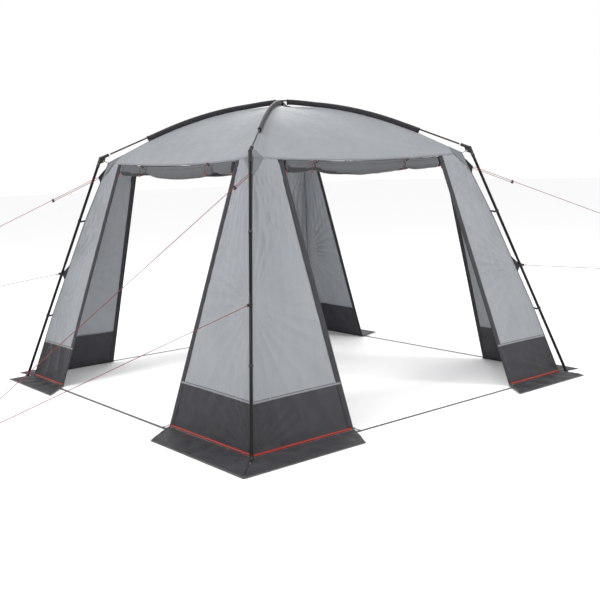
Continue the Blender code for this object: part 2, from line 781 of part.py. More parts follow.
def make_zip_mesh():
    """A zip slider with its pull tab: x along the side, y down the edge, z through the cloth."""
    wide, tall, thick = ZIP_BODY
    pull_wide, pull_tall, pull_thick = ZIP_PULL
    mesh = bpy.data.meshes.new("zip_slider")
    shape = bmesh.new()
    outline = [
        (-wide / 2, 0),
        (wide / 2, 0),
        (wide / 2, tall * 0.6),
        (pull_wide / 2, tall),
        (pull_wide / 2, tall + pull_tall),
        (-pull_wide / 2, tall + pull_tall),
        (-pull_wide / 2, tall),
        (-wide / 2, tall * 0.6),
    ]
    depths = [thick, thick, thick, pull_thick, pull_thick, pull_thick, pull_thick, thick]
    low = [shape.verts.new((x, y, -d / 2)) for (x, y), d in zip(outline, depths)]
    high = [shape.verts.new((x, y, d / 2)) for (x, y), d in zip(outline, depths)]
    count = len(outline)
    for i in range(count):
        j = (i + 1) % count
        shape.faces.new((low[i], low[j], high[j], high[i]))
    for loop in (low, high):
        shape.faces.new((loop[0], loop[1], loop[2], loop[7]))
        shape.faces.new((loop[7], loop[2], loop[3], loop[6]))
        shape.faces.new((loop[6], loop[3], loop[4], loop[5]))
    bmesh.ops.recalc_face_normals(shape, faces=shape.faces)
    shape.to_mesh(mesh)
    shape.free()
    return mesh


def door_edge_way(side, corner):
    """Unit vector down a doorway's edge."""
    _, low_door, _, high_door = wall_corners(side, corner)
    return (low_door - high_door).normalized()


def zip_matrix(side, corner):
    """A zip slider sits at the top of a doorway's edge, just clear of the wall's cloth."""
    sign = end_sign(side, corner)
    down = door_edge_way(side, corner)
    _, _, _, high_door = wall_corners(side, corner)
    inward = Vector((*SIDES[side]["along"], 0)) * -sign
    across = (inward - down * inward.dot(down)).normalized()
    through = across.cross(down)
    start = high_door + down * ZIP_DROP + across * (ZIP_BODY[0] / 2 + ZIP_GAP)
    turn = Matrix((across, down, through)).transposed().to_4x4()
    return Matrix.Translation(start) @ turn


def smooth_route(points, steps):
    """Points along a smooth curve through a rope's own points."""
    route = []
    last = len(points) - 1
    for i in range(last):
        before, start = points[max(i - 1, 0)], points[i]
        end, after = points[i + 1], points[min(i + 2, last)]
        span = (end - start).length
        out_way = (end - before).normalized() * span
        in_way = (after - start).normalized() * span
        for k in range(steps):
            t = k / steps
            route.append(
                start * (2 * t**3 - 3 * t**2 + 1)
                + out_way * (t**3 - 2 * t**2 + t)
                + end * (3 * t**2 - 2 * t**3)
                + in_way * (t**3 - t**2)
            )
    route.append(points[last])
    return route


def rope_axes(guy):
    """Where a rope starts, the way it runs, its square upward way and its length."""
    start, end = Vector(guy["tab"]), Vector(guy["to"])
    way = (end - start).normalized()
    side_way = way.cross(Vector((0, 0, 1))).normalized()
    return start, way, side_way.cross(way), (end - start).length


def upper_guy_route(guy):
    """From the tensioner back to the tab, round its loop and out again to the far end."""
    start, way, up, length = rope_axes(guy)
    gap = STRAND_GAP / 2
    tied = guy["slider"] + TENSIONER_L / 2
    local = [
        (tied, -gap),
        (tied * 0.6, -gap),
        (0.04, -gap),
        (0.012, -gap),
        (0.0025, -gap * 0.6),
        (0, 0),
        (0.0025, gap * 0.6),
        (0.012, gap),
        (0.04, gap),
        (tied, gap),
        (length * 0.7, gap),
        (length, gap),
    ]
    return [start + way * a + up * b for a, b in local]


def lower_guy_route(guy):
    start, way, _, length = rope_axes(guy)
    return [start + way * length * share for share in (0, 0.2, 0.5, 0.8, 1)]


def make_tensioner(corner, guy, material):
    """A ladder slider with one bore for each strand of the rope."""
    start, way, up, _ = rope_axes(guy)
    across = way.cross(up)
    centre = start + way * guy["slider"]
    turn = Matrix((way, up, across)).transposed().to_4x4()
    faces = [(0, 2, 3, 1), (4, 5, 7, 6), (0, 1, 5, 4), (2, 6, 7, 3), (0, 4, 6, 2), (1, 3, 7, 5)]
    mesh = mesh_of("tensioner", box_points(TENSIONER), faces)
    face_out(mesh)
    thing = place(f"tensioner_{corner}", mesh, material, Matrix.Translation(centre) @ turn)
    bevel = thing.modifiers.new("rounded edges", "BEVEL")
    bevel.width = TENSIONER_EDGE
    bevel.segments = 2
    radius = ROPE_D / 2 + BORE_CLEARANCE
    for number, height in enumerate((-STRAND_GAP / 2, STRAND_GAP / 2)):
        middle = centre + up * height
        reach = way * (TENSIONER_L / 2 + CUT_OVERRUN)
        bore = cylinder(radius, middle - reach, middle + reach, 12)
        cut(thing, place(f"tensioner_bore_{corner}_{number}", bore, material))
    return thing


def make_frame(looks):
    make_roof_pole("roof_pole_left_right", ("left", "right"), looks["glass_fibre"])
    make_roof_pole("roof_pole_front_back", ("front", "back"), looks["glass_fibre"])
    elbow = make_elbow_mesh(looks["moulded_black"])
    leg = make_leg_mesh()
    for corner in CORNERS:
        place(f"elbow_{corner}", elbow, looks["moulded_black"], elbow_matrix(corner))
        place(f"leg_{corner}", leg, looks["painted_tube"], leg_matrix(corner))


def make_canopy(looks):
    for corner in CORNERS:
        make_sleeve(corner, looks["dark_cloth"])
        make_skirt(corner, looks["dark_cloth"])
    for side in SIDES:
        make_roof_panel(side, looks["light_cloth"])
        for corner in SIDES[side]["ends"]:
            make_wall(side, corner, looks["light_cloth"])
    make_ground_strap(looks["webbing"])


def make_doors(looks):
    toggle = make_toggle_mesh()
    slider = make_zip_mesh()
    for side in SIDES:
        make_door_roll(side, looks["light_cloth"])
        for corner, along in zip(SIDES[side]["ends"], TOGGLE_AT):
            name = f"toggle_{side}_{corner}"
            place(name, toggle, looks["moulded_black"], toggle_matrix(side, along))
            name = f"zip_slider_{side}_{corner}"
            place(name, slider, looks["moulded_black"], zip_matrix(side, corner))


def make_guys(looks):
    for corner, guy in UPPER_GUYS.items():
        route = smooth_route(upper_guy_route(guy), 3)
        spline_tube(f"guy_upper_{corner}", route, ROPE_D, 2, looks["red_rope"])
        make_tensioner(corner, guy, looks["moulded_black"])
    for corner, guy in LOWER_GUYS.items():
        route = smooth_route(lower_guy_route(guy), 3)
        spline_tube(f"guy_lower_{corner}", route, ROPE_D, 2, looks["red_rope"])


def main():
    clear_scene()
    looks = make_materials()
    make_frame(looks)
    make_canopy(looks)
    make_doors(looks)
    make_guys(looks)


main()
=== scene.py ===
"""Square dome shelter: its cloth, frame, ropes and stage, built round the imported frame."""

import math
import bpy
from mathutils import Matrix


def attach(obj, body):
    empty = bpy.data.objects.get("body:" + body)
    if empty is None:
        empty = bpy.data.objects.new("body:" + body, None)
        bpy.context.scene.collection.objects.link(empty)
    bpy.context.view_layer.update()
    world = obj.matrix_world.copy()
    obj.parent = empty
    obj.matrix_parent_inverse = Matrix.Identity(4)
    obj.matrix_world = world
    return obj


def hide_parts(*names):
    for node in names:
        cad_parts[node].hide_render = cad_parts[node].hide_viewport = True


bl_info = {
    "name": "Dome Shelter",
    "version": (1, 0, 0),
    "blender": (4, 5, 0),
    "location": "View3D > Sidebar > Shelter",
    "description": "Builds the cloth, frame, ropes and stage of a square dome shelter",
    "category": "Object",
}

import bmesh
import bpy
import numpy as np
from mathutils import Matrix, Vector

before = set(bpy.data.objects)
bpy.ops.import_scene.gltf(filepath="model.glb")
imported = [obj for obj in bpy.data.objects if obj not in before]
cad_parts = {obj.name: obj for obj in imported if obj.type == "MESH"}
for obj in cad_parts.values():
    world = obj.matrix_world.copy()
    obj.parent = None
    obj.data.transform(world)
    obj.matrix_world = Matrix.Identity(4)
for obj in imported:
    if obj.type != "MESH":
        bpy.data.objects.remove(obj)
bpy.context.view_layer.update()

UP = Vector((0, 0, 1))
MM = 0.001
SHELTER = "shelter"

# Frame
FOOT_HALF = 1.6
ELBOW_HALF_X = 1.092
ELBOW_HALF_Y = 1.019
POLE_TOP_Z = 2.226
POLE_CURVE = 0.207
POLE_STRAIGHT_FROM = 0.95
POLE_LIFT_REACH = 0.3
ROOF_POLE_D = 0.0125
LEG_D = 0.022
SOCKET_STOP = 0.020
ELBOW_ARM = 0.075
ELBOW_WALL = 0.0026
ELBOW_ARM_STEP = 0.0024
ELBOW_WEB_REACH = 0.052
ELBOW_EYE_AT = 0.033
FIT = 0.0004
ELBOW_D = LEG_D + 2 * (FIT + ELBOW_WALL)
ELBOW_REACH = math.hypot(ELBOW_HALF_X, ELBOW_HALF_Y)
POLE_SLOPE = 2 * POLE_CURVE * POLE_STRAIGHT_FROM
STRAIGHT_RUN = ELBOW_REACH - POLE_STRAIGHT_FROM
ELBOW_Z = POLE_TOP_Z - POLE_CURVE * POLE_STRAIGHT_FROM**2 - POLE_SLOPE * STRAIGHT_RUN

# Cloth
EAVE_HALF_X = ELBOW_HALF_X - 0.047
EAVE_HALF_Y = ELBOW_HALF_Y - 0.044
EAVE_REACH = math.hypot(EAVE_HALF_X, EAVE_HALF_Y)
EAVE_Z = ELBOW_Z - 0.0355
EAVE_SAG = 0.035
EAVE_BOW = 0.030
WALL_FOOT_HALF = FOOT_HALF - 0.045
WALL_EDGE_BOW = 0.028
WALL_LIFT = 0.006
RIDGE_DROP = 0.0324
SLEEVE_START = 0.050
SLEEVE_END = 1.094
DOOR_HALF = 0.78
BAND_W = 0.046
BASE_H = 0.30
SKIRT_OUT = FOOT_HALF + 0.21
SKIRT_END_BACK = 0.05
CLOTH = 0.0009
LEAST_SHARE = 0.31  # of its flat rectangle that a cut piece of cloth fills
WALL_PARTS = 64
BAND_OVERLAP = 0.004
TAPE = 0.0012
STRAP_W = 0.025
CLIP_HEIGHTS = (1.32, 0.53)
CLIP_PULL = 0.004

# Doors, toggles and zips
ROLL_DROP = 0.0115
ROLL_H = 0.085
ROLL_T = 0.058
ROLL_LEAN = 0.25
ROLL_END_GAP = 0.026
ROLL_TURNS = 12
DARK_END = {"front_left": 1, "front_right": -1, "back_left": 1, "back_right": -1}
TOGGLE_AT = (-0.50, 0.40)
TOGGLE_L = 0.030
TOGGLE_D = 0.012
TOGGLE_Z_DROP = 0.016
TOGGLE_GAP = 0.003
TOGGLE_LEAN = 35
ZIP_DROP = 0.060
ZIP_GAP = 0.0006
ZIP_BODY = (0.009, 0.018, 0.007)
ZIP_PULL_L = 0.026

# Ropes
ROPE_D = 0.004
STRAND_GAP = 0.012
TENSIONER = (0.014, 0.027, 0.009)
UPPER_GUYS = {
    "front": {"tab": (-1.105, -1.048, 1.690), "to": (-2.980, -1.048, 0.437), "slider": 0.168},
    "left": {"tab": (-1.116, 1.024, 1.670), "to": (-1.780, 1.688, 1.252), "slider": 0.432},
    "right": {"tab": (1.091, -1.052, 1.670), "to": (1.880, -1.842, 1.226), "slider": 0.331},
}
LOWER_GUYS = {
    "front": {"tab": (-1.384, -1.321, 0.880), "to": (-3.080, -1.321, 0.440)},
    "left": {"tab": (-1.376, 1.341, 0.880), "to": (-1.790, 1.755, 0.772)},
    "right": {"tab": (1.376, -1.341, 0.880), "to": (1.860, -1.825, 0.836)},
}

WALL_PEGS = {
    ("front_left", "front"): (0.62, 0.81),
    ("front_left", "left"): (1.00, 0.80),
    ("front_right", "front"): (0.73, 0.87),
    ("front_right", "right"): (0.91, 0.77),
    ("back_left", "left"): (0.80, 0.86),
    ("back_left", "back"): (0.78, 0.86),
    ("back_right", "right"): (0.78, 0.86),
    ("back_right", "back"): (0.74, 0.82),
}
CORNERS = {"front": (-1, -1), "right": (1, -1), "back": (1, 1), "left": (-1, 1)}
SIDES = {
    "front_left": {"out": Vector((-1, 0, 0)), "along": Vector((0, 1, 0)), "ends": ("front", "left")},
    "front_right": {"out": Vector((0, -1, 0)), "along": Vector((1, 0, 0)), "ends": ("front", "right")},
    "back_left": {"out": Vector((0, 1, 0)), "along": Vector((1, 0, 0)), "ends": ("left", "back")},
    "back_right": {"out": Vector((1, 0, 0)), "along": Vector((0, 1, 0)), "ends": ("right", "back")},
}
WINGS = [(side, corner) for side in SIDES for corner in SIDES[side]["ends"]]
WIDE_SKIRT_CORNERS = ("front", "back")

# Camera: place in metres, then angles in degrees
CAMERA_AT = (-4.668, -5.789, 1.731)
CAMERA_TURN = 39.52
CAMERA_DOWN = 8.36
CAMERA_ROLL = -1.65
CAMERA_LENS = 54.62
CAMERA_SHIFT = (0.0045, -0.0027)


# ---------------------------------------------------------------- shape of the shelter


def corner_way(corner, half_x, half_y):
    """Level unit vector from the middle towards a corner of a rectangle."""
    sign_x, sign_y = CORNERS[corner]
    return Vector((sign_x * half_x, sign_y * half_y, 0)).normalized()


def side_point(side, along, out, z):
    return SIDES[side]["along"] * along + SIDES[side]["out"] * out + UP * z


def end_sign(side, corner):
    return -1 if SIDES[side]["ends"][0] == corner else 1


def eave_sizes(side):
    """Half length of a side's eave, and its distance from the middle."""
    if SIDES[side]["out"].x:
        return EAVE_HALF_Y, EAVE_HALF_X
    return EAVE_HALF_X, EAVE_HALF_Y


def eave_point(side, along, drop=0.0):
    """A point of the eave, which sags and bows in between its corners."""
    half, out = eave_sizes(side)
    slack = max(0.0, 1 - (along / half) ** 2)
    return side_point(side, along, out - EAVE_BOW * slack, EAVE_Z - EAVE_SAG * slack - drop)


def pole_z(distance, lift=0.0):
    """Height of a roof pole's centre line at a distance from the middle."""
    bent = min(distance, POLE_STRAIGHT_FROM)
    drop = POLE_CURVE * bent**2 + POLE_SLOPE * (distance - bent)
    near = max(0.0, 1 - distance / POLE_LIFT_REACH)
    return POLE_TOP_Z - drop + lift * near**2 * (3 - 2 * near)


def pole_point(corner, distance):
    lift = ROOF_POLE_D + FIT if corner in ("left", "right") else 0.0
    return corner_way(corner, ELBOW_HALF_X, ELBOW_HALF_Y) * distance + UP * pole_z(distance, lift)


def elbow_bend(corner):
    way = corner_way(corner, ELBOW_HALF_X, ELBOW_HALF_Y)
    return way * ELBOW_REACH + UP * ELBOW_Z


def foot_of(corner):
    sign_x, sign_y = CORNERS[corner]
    return Vector((sign_x * FOOT_HALF, sign_y * FOOT_HALF, 0))


def pole_way(corner):
    """Unit vector along a pole from its elbow up towards the middle."""
    way = corner_way(corner, ELBOW_HALF_X, ELBOW_HALF_Y)
    return (UP * POLE_SLOPE - way).normalized()


def leg_way(corner):
    return (foot_of(corner) - elbow_bend(corner)).normalized()


def leg_point(corner, z):
    """The leg's centre line at a height."""
    bend = elbow_bend(corner)
    return bend.lerp(foot_of(corner), (bend.z - z) / bend.z)


def ridge_point(corner, share):
    """The roof cloth's ridge: under the pole, then straight to the eave corner."""
    distance = share * EAVE_REACH
    if distance <= SLEEVE_END:
        z = pole_z(distance) - RIDGE_DROP
    else:
        start = pole_z(SLEEVE_END) - RIDGE_DROP
        z = start + (EAVE_Z - start) * (distance - SLEEVE_END) / (EAVE_REACH - SLEEVE_END)
    return corner_way(corner, EAVE_HALF_X, EAVE_HALF_Y) * distance + UP * z


def corner_edge(corner, share):
    """A wall's outer edge, drawn towards the leg beside it and most of all at each clip."""
    sign_x, sign_y = CORNERS[corner]
    low = Vector((sign_x * WALL_FOOT_HALF, sign_y * WALL_FOOT_HALF, WALL_LIFT))
    high = Vector((sign_x * EAVE_HALF_X, sign_y * EAVE_HALF_Y, EAVE_Z))
    point = low.lerp(high, share)
    pull = sum(math.exp(-(((point.z - z) / 0.16) ** 2)) for z in CLIP_HEIGHTS)
    bow = WALL_EDGE_BOW * 4 * share * (1 - share) + CLIP_PULL * pull
    return point + Vector((sign_x, sign_y, 0)).normalized() * bow


def door_ends(side, corner):
    """The foot and the head of a wall's free edge."""
    sign = end_sign(side, corner)
    foot, _ = WALL_PEGS[(side, corner)]
    return side_point(side, sign * foot, WALL_FOOT_HALF, WALL_LIFT), eave_point(side, sign * DOOR_HALF, 0.004)


def door_edge(side, corner, share):
    low, high = door_ends(side, corner)
    return low.lerp(high, share)


def wall_out(side, corner):
    """Outward unit normal of a wall."""
    low, high = door_ends(side, corner)
    across = corner_edge(corner, 0.5) - low.lerp(high, 0.5)
    normal = (high - low).cross(across).normalized()
    return normal if normal.dot(SIDES[side]["out"]) > 0 else -normal


# ---------------------------------------------------------------- mesh helpers


def seeded_waves(seed, count=5, size=0.3):
    """A smooth bumpy field about 1 high: waves of about one size in mixed directions."""
    rng = np.random.default_rng(seed)
    ways = rng.normal(size=(count, 3))
    ways /= np.linalg.norm(ways, axis=1)[:, None]
    ways *= 2 * math.pi / size * rng.uniform(0.6, 1.5, count)[:, None]
    starts = rng.uniform(0, 2 * math.pi, count)
    waves = [(Vector(w), s) for w, s in zip(ways, starts)]
    return lambda p: sum(math.sin(w.dot(p) + s) for w, s in waves) / count * 1.6


def crease(phase):
    """A narrow ridge once each turn of phase, between broad hollows; from -0.5 to 1."""
    return 1 - 1.5 * abs(math.sin(phase / 2)) ** 0.8


def fan(a, b, centre, folds, reach, turn=0.0):
    """Folds that spread from one pulled point and fade with distance."""
    x, y = a - centre[0], b - centre[1]
    far = math.hypot(x, y)
    fade = math.exp(-((far / reach) ** 2)) * min(1.0, far / 0.2)
    angle = math.atan2(y, x)
    wander = 0.8 * math.sin(3.1 * angle + turn) + 0.5 * math.sin(4.7 * far + turn)
    return crease(folds * angle + turn + wander) * (0.65 + 0.35 * math.sin(2.3 * angle + 2 * turn)) * fade


def piece(name, data, material, body=SHELTER):
    """Show a mesh or a curve, give it its material and slot, and tie it to a body."""
    made = bpy.data.objects.new(name, data)
    bpy.context.scene.collection.objects.link(made)
    if material.name not in [m.name for m in data.materials if m]:
        data.materials.append(material)
    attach(made, body)
    return made


def shade_round(mesh, angle=40):
    mesh.shade_smooth()
    mesh.set_sharp_from_angle(angle=math.radians(angle))


def mesh_from(name, points, faces, uvs=None, smooth=True):
    """A mesh from points and faces; uvs, one for each point, are in metres of cloth."""
    mesh = bpy.data.meshes.new(name)
    mesh.from_pydata([tuple(p) for p in points], [], faces)
    mesh.update()
    if uvs is not None:
        layer = mesh.uv_layers.new(name="cut")
        for loop in mesh.loops:
            layer.data[loop.index].uv = uvs[loop.vertex_index]
    if smooth:
        shade_round(mesh)
    return mesh


def cloth_piece(name, rows, uvs, outward, material, relief=None, body=SHELTER, thick=CLOTH):
    """A sheet through rows of points, raised by relief(u, v, point), with a real thickness."""
    deep, wide = len(rows), len(rows[0])
    flat_area = 0.0
    points = []
    for i in range(deep):
        for j in range(wide):
            here = rows[i][j]
            across = rows[i][min(j + 1, wide - 1)] - rows[i][max(j - 1, 0)]
            down = rows[min(i + 1, deep - 1)][j] - rows[max(i - 1, 0)][j]
            normal = across.cross(down)
            normal = normal.normalized() if normal.length > 1e-12 else outward
            normal = normal if normal.dot(outward) > 0 else -normal
            lift = relief(i / (deep - 1), j / (wide - 1), here) if relief else 0.0
            points.append(here + normal * lift)
            if i and j:
                flat_area += (rows[i][j] - rows[i - 1][j]).cross(rows[i][j] - rows[i][j - 1]).length
    faces = []
    for i in range(deep - 1):
        for j in range(wide - 1):
            a = i * wide + j
            faces.append((a, a + 1, a + wide + 1, a + wide))
    flat_uvs = [uv for row in uvs for uv in row]
    mesh = mesh_from(name, points, faces, flat_uvs)
    middle = mesh.polygons[len(mesh.polygons) // 2]
    if middle.normal.dot(outward) < 0:
        mesh.flip_normals()
    made = piece(name, mesh, material, body)
    solid = made.modifiers.new("cloth thickness", "SOLIDIFY")
    solid.thickness = thick
    solid.offset = -1
    across = [u for u, _ in flat_uvs]
    along = [v for _, v in flat_uvs]
    size = (max(across) - min(across), max(along) - min(along))
    return made, size, min(flat_area, size[0] * size[1])


def sheet_piece(name, rows, uvs, outward, material, held, rests_on, **more):
    """A cloth piece through rows of points, with a real thickness."""
    made, size, area = cloth_piece(name, rows, uvs, outward, material, **more)
    area = max(area, LEAST_SHARE * size[0] * size[1])
    return made


def sweep(name, path, radius, material, body=SHELTER, sides=14, closed=False, width=None, seam_up=UP):
    """A round or flat bar along a path; radius and width may be functions of the share of its length.

    With a width, the section is a flat rounded one: width across, twice the radius thick,
    and its thickness points along seam_up.
    """
    count = len(path)
    points, uvs, faces = [], [], []
    run = 0.0
    for i, here in enumerate(path):
        before = path[i - 1] if i or closed else here
        after = path[(i + 1) % count] if i < count - 1 or closed else here
        ahead = (after - before).normalized()
        up = seam_up(i) if callable(seam_up) else seam_up
        side = ahead.cross(up)
        side = side.normalized() if side.length > 1e-6 else ahead.orthogonal().normalized()
        up = side.cross(ahead).normalized()
        if i:
            run += (here - path[i - 1]).length
        thick = radius(i / (count - 1)) if callable(radius) else radius
        half = thick if width is None else width / 2
        for k in range(sides):
            turn = 2 * math.pi * (k + 0.5) / sides
            power = 1.0 if width is None else 0.35
            x, y = math.cos(turn), math.sin(turn)
            x, y = math.copysign(abs(x) ** power, x), math.copysign(abs(y) ** power, y)
            points.append(here + side * x * half + up * y * thick)
            uvs.append((k / sides * 2 * math.pi * half, run))
    rings = count if closed else count - 1
    for i in range(rings):
        a, b = i * sides, (i + 1) % count * sides
        for k in range(sides):
            m = (k + 1) % sides
            faces.append((a + k, a + m, b + m, b + k))
    if not closed:
        faces.append(tuple(reversed(range(sides))))
        faces.append(tuple(range((count - 1) * sides, count * sides)))
    mesh = mesh_from(name, points, faces, uvs)
    face_out(mesh)
    return piece(name, mesh, material, body)


def face_out(mesh):
    """Turn every face of a closed mesh outward."""
    shape = bmesh.new()
    shape.from_mesh(mesh)
    bmesh.ops.recalc_face_normals(shape, faces=shape.faces)
    shape.to_mesh(mesh)
    shape.free()


def turned(name, profile, sides=24):
    """A closed turned shape about Z from (radius, height) pairs."""
    points, faces = [], []
    for radius, height in profile:
        for k in range(sides):
            turn = 2 * math.pi * k / sides
            points.append(Vector((radius * math.cos(turn), radius * math.sin(turn), height)))
    for i in range(len(profile) - 1):
        for k in range(sides):
            m = (k + 1) % sides
            faces.append((i * sides + k, i * sides + m, (i + 1) * sides + m, (i + 1) * sides + k))
    faces.append(tuple(reversed(range(sides))))
    faces.append(tuple(range((len(profile) - 1) * sides, len(profile) * sides)))
    mesh = mesh_from(name, points, faces)
    face_out(mesh)
    return mesh


def frame_matrix(centre, x_way, y_way, z_way):
    """A placing matrix from its own three ways."""
    return Matrix.Translation(centre) @ Matrix((x_way, y_way, z_way)).transposed().to_4x4()


def placed(mesh, matrix):
    """A copy of a mesh, moved into place."""
    copy = mesh.copy()
    copy.transform(matrix)
    return copy


def joined(name, meshes):
    """Several closed meshes in one."""
    shape = bmesh.new()
    for mesh in meshes:
        shape.from_mesh(mesh)
    whole = bpy.data.meshes.new(name)
    shape.to_mesh(whole)
    shape.free()
    shade_round(whole)
    return whole


def rounded_plate(name, outline, holes, thick, edge):
    """A flat plate in its own XY plane with rounded edges and round holes."""
    curve = bpy.data.curves.new(name, "CURVE")
    curve.dimensions = "2D"
    curve.fill_mode = "BOTH"
    curve.extrude = thick / 2 - edge
    curve.bevel_depth = edge
    curve.bevel_resolution = 2
    curve.offset = -edge
    loops = [outline]
    for x, y, radius in holes:
        turns = [2 * math.pi * k / 20 for k in range(20)]
        loops.append([(x + radius * math.cos(t), y + radius * math.sin(t)) for t in turns])
    for loop in loops:
        spline = curve.splines.new("POLY")
        spline.points.add(len(loop) - 1)
        spline.use_cyclic_u = True
        for knot, (x, y) in zip(spline.points, loop):
            knot.co = (x, y, 0, 1)
    helper = bpy.data.objects.new(name, curve)
    bpy.context.scene.collection.objects.link(helper)
    bpy.context.view_layer.update()
    mesh = bpy.data.meshes.new_from_object(helper.evaluated_get(bpy.context.evaluated_depsgraph_get()))
    bpy.data.objects.remove(helper)
    mesh.materials.clear()
    shade_round(mesh, 30)
    return mesh


def round_outline(corners, radius, steps=5):
    """A polygon's corners rounded off, each with an arc-like run of points."""
    outline = []
    count = len(corners)
    for i in range(count):
        here = Vector(corners[i])
        start = here + (Vector(corners[i - 1]) - here).normalized() * radius
        end = here + (Vector(corners[(i + 1) % count]) - here).normalized() * radius
        for k in range(steps + 1):
            t = k / steps
            outline.append(tuple(start.lerp(here, t).lerp(here.lerp(end, t), t)))
    return outline


# ---------------------------------------------------------------- materials


def linear(code):
    """An sRGB hex colour as linear red, green, blue and alpha."""
    values = []
    for at in (0, 2, 4):
        value = int(code[at : at + 2], 16) / 255
        values.append(value / 12.92 if value <= 0.04045 else ((value + 0.055) / 1.055) ** 2.4)
    return (*values, 1.0)


def shade(colour, by):
    return (*(min(1.0, c * by) for c in colour[:3]), 1.0)


def wave_scale(millimetres):
    """Scale of a Wave texture whose bands repeat at this distance."""
    return math.pi / 10 / (millimetres * MM)


def noise_scale(millimetres):
    """Scale of a Noise or Voronoi texture whose spots are about this size."""
    return 1 / (millimetres * MM)


def add_node(tree, kind, links=(), **settings):
    """Add a node with its settings; links set an input to a value or to another node's output."""
    made = tree.nodes.new(kind)
    for key, value in settings.items():
        setattr(made, key, value)
    for socket, value in dict(links).items():
        if isinstance(value, bpy.types.NodeSocket):
            tree.links.new(value, made.inputs[socket])
        else:
            made.inputs[socket].default_value = value
    return made


def new_material(name):
    """An empty material with its shader; returns the material, its tree and the shader."""
    material = bpy.data.materials.new(name)
    material.use_nodes = True
    tree = material.node_tree
    return material, tree, tree.nodes["Principled BSDF"]


def two_tone(tree, factor, low, high, start=0.3, end=0.7):
    """A colour that runs from low to high as factor runs from start to end."""
    ramp = add_node(tree, "ShaderNodeValToRGB", {"Fac": factor})
    ramp.color_ramp.elements[0].position = start
    ramp.color_ramp.elements[0].color = low
    ramp.color_ramp.elements[1].position = end
    ramp.color_ramp.elements[1].color = high
    return ramp.outputs["Color"]


def set_shader(shader, **values):
    names = {
        "roughness": "Roughness",
        "metallic": "Metallic",
        "ior": "IOR",
        "sheen": "Sheen Weight",
        "sheen_roughness": "Sheen Roughness",
        "specular": "Specular IOR Level",
        "coat": "Coat Weight",
        "coat_roughness": "Coat Roughness",
        "through": "Subsurface Weight",
        "through_radius": "Subsurface Radius",
        "through_scale": "Subsurface Scale",
    }
    for key, value in values.items():
        shader.inputs[names[key]].default_value = value


def colour_mix(tree, factor, low, high, blend="MIX"):
    """The colour socket of a Mix node between two colours."""
    mix = add_node(tree, "ShaderNodeMix", {0: factor, 6: low, 7: high}, data_type="RGBA", blend_type=blend)
    return mix.outputs[2]


def bumped(tree, shader, height, strength, depth, **more):
    """Let one pattern raise the surface by up to a depth in metres."""
    links = {"Height": height, "Strength": strength, "Distance": depth}
    bump = add_node(tree, "ShaderNodeBump", links, **more)
    tree.links.new(bump.outputs["Normal"], shader.inputs["Normal"])


def coated_polyester(name, code, fold_depth, fold_shade=0.0, tone=1.0):
    """Woven polyester with a rain coating: a fine plain weave under a smooth, slightly waxy face.

    Hung and pulled by its corners it gathers into long folds, and storage leaves soft dents.
    The folds are bumped, and their tone is painted as well: painted shade in their hollows and
    painted light on their crests, so its tone runs in streaks. A thread is about 0.3 mm, drawn
    several times coarser so that it shows.
    """
    material, tree, shader = new_material(name)
    colour = shade(linear(code), tone)
    cut = add_node(tree, "ShaderNodeUVMap", uv_map="cut").outputs["UV"]
    place = add_node(tree, "ShaderNodeTexCoord").outputs["Object"]
    weave_links = {"Vector": cut, "Scale": wave_scale(2.6), "Distortion": 0.4, "Detail": 0.0}
    warp = add_node(tree, "ShaderNodeTexWave", weave_links, bands_direction="X").outputs["Fac"]
    weft = add_node(tree, "ShaderNodeTexWave", weave_links, bands_direction="Y").outputs["Fac"]
    weave = add_node(tree, "ShaderNodeMath", {0: warp, 1: weft}, operation="MULTIPLY").outputs["Value"]
    drawn = add_node(tree, "ShaderNodeMapping", {"Vector": cut, "Scale": (1.0, 0.11, 1.0)}).outputs["Vector"]
    streak_links = {"Vector": drawn, "Scale": noise_scale(34), "Detail": 3.0, "Roughness": 0.5}
    streak_links["Distortion"] = 0.6
    streaks = add_node(tree, "ShaderNodeTexNoise", streak_links).outputs["Fac"]
    dent_links = {"Vector": place, "Scale": noise_scale(55), "Detail": 5.0, "Roughness": 0.6}
    dents = add_node(tree, "ShaderNodeTexNoise", dent_links).outputs["Fac"]
    patch_links = {"Vector": place, "Scale": noise_scale(300), "Detail": 3.0}
    patches = add_node(tree, "ShaderNodeTexNoise", patch_links).outputs["Fac"]
    base = two_tone(tree, patches, shade(colour, 0.93), shade(colour, 1.05))
    # painted shade in the fold hollows and painted light on the fold crests: this colour follows the noise
    # that bumps the folds
    bands = two_tone(tree, streaks, shade(colour, 0.84), shade(colour, 1.10))
    fold_shaded = colour_mix(tree, fold_shade, base, bands)
    threads = two_tone(tree, weave, shade(colour, 0.84), shade(colour, 1.12), 0.0, 0.8)
    tree.links.new(colour_mix(tree, 0.16, fold_shaded, threads), shader.inputs["Base Color"])
    gloss = two_tone(tree, dents, (0.50, 0.50, 0.50, 1), (0.66, 0.66, 0.66, 1))
    tree.links.new(gloss, shader.inputs["Roughness"])
    normal = None
    for height, strength, depth in ((weave, 0.35, 0.0004), (dents, 0.45, 0.0030), (streaks, 0.5, fold_depth)):
        links = {"Height": height, "Strength": strength, "Distance": depth}
        if normal:
            links["Normal"] = normal
        normal = add_node(tree, "ShaderNodeBump", links).outputs["Normal"]
    tree.links.new(normal, shader.inputs["Normal"])
    set_shader(shader, sheen=0.06, sheen_roughness=0.4, specular=0.22, ior=1.5)
    set_shader(shader, through=0.5, through_radius=(1.0, 1.0, 1.0), through_scale=0.004)
    return material


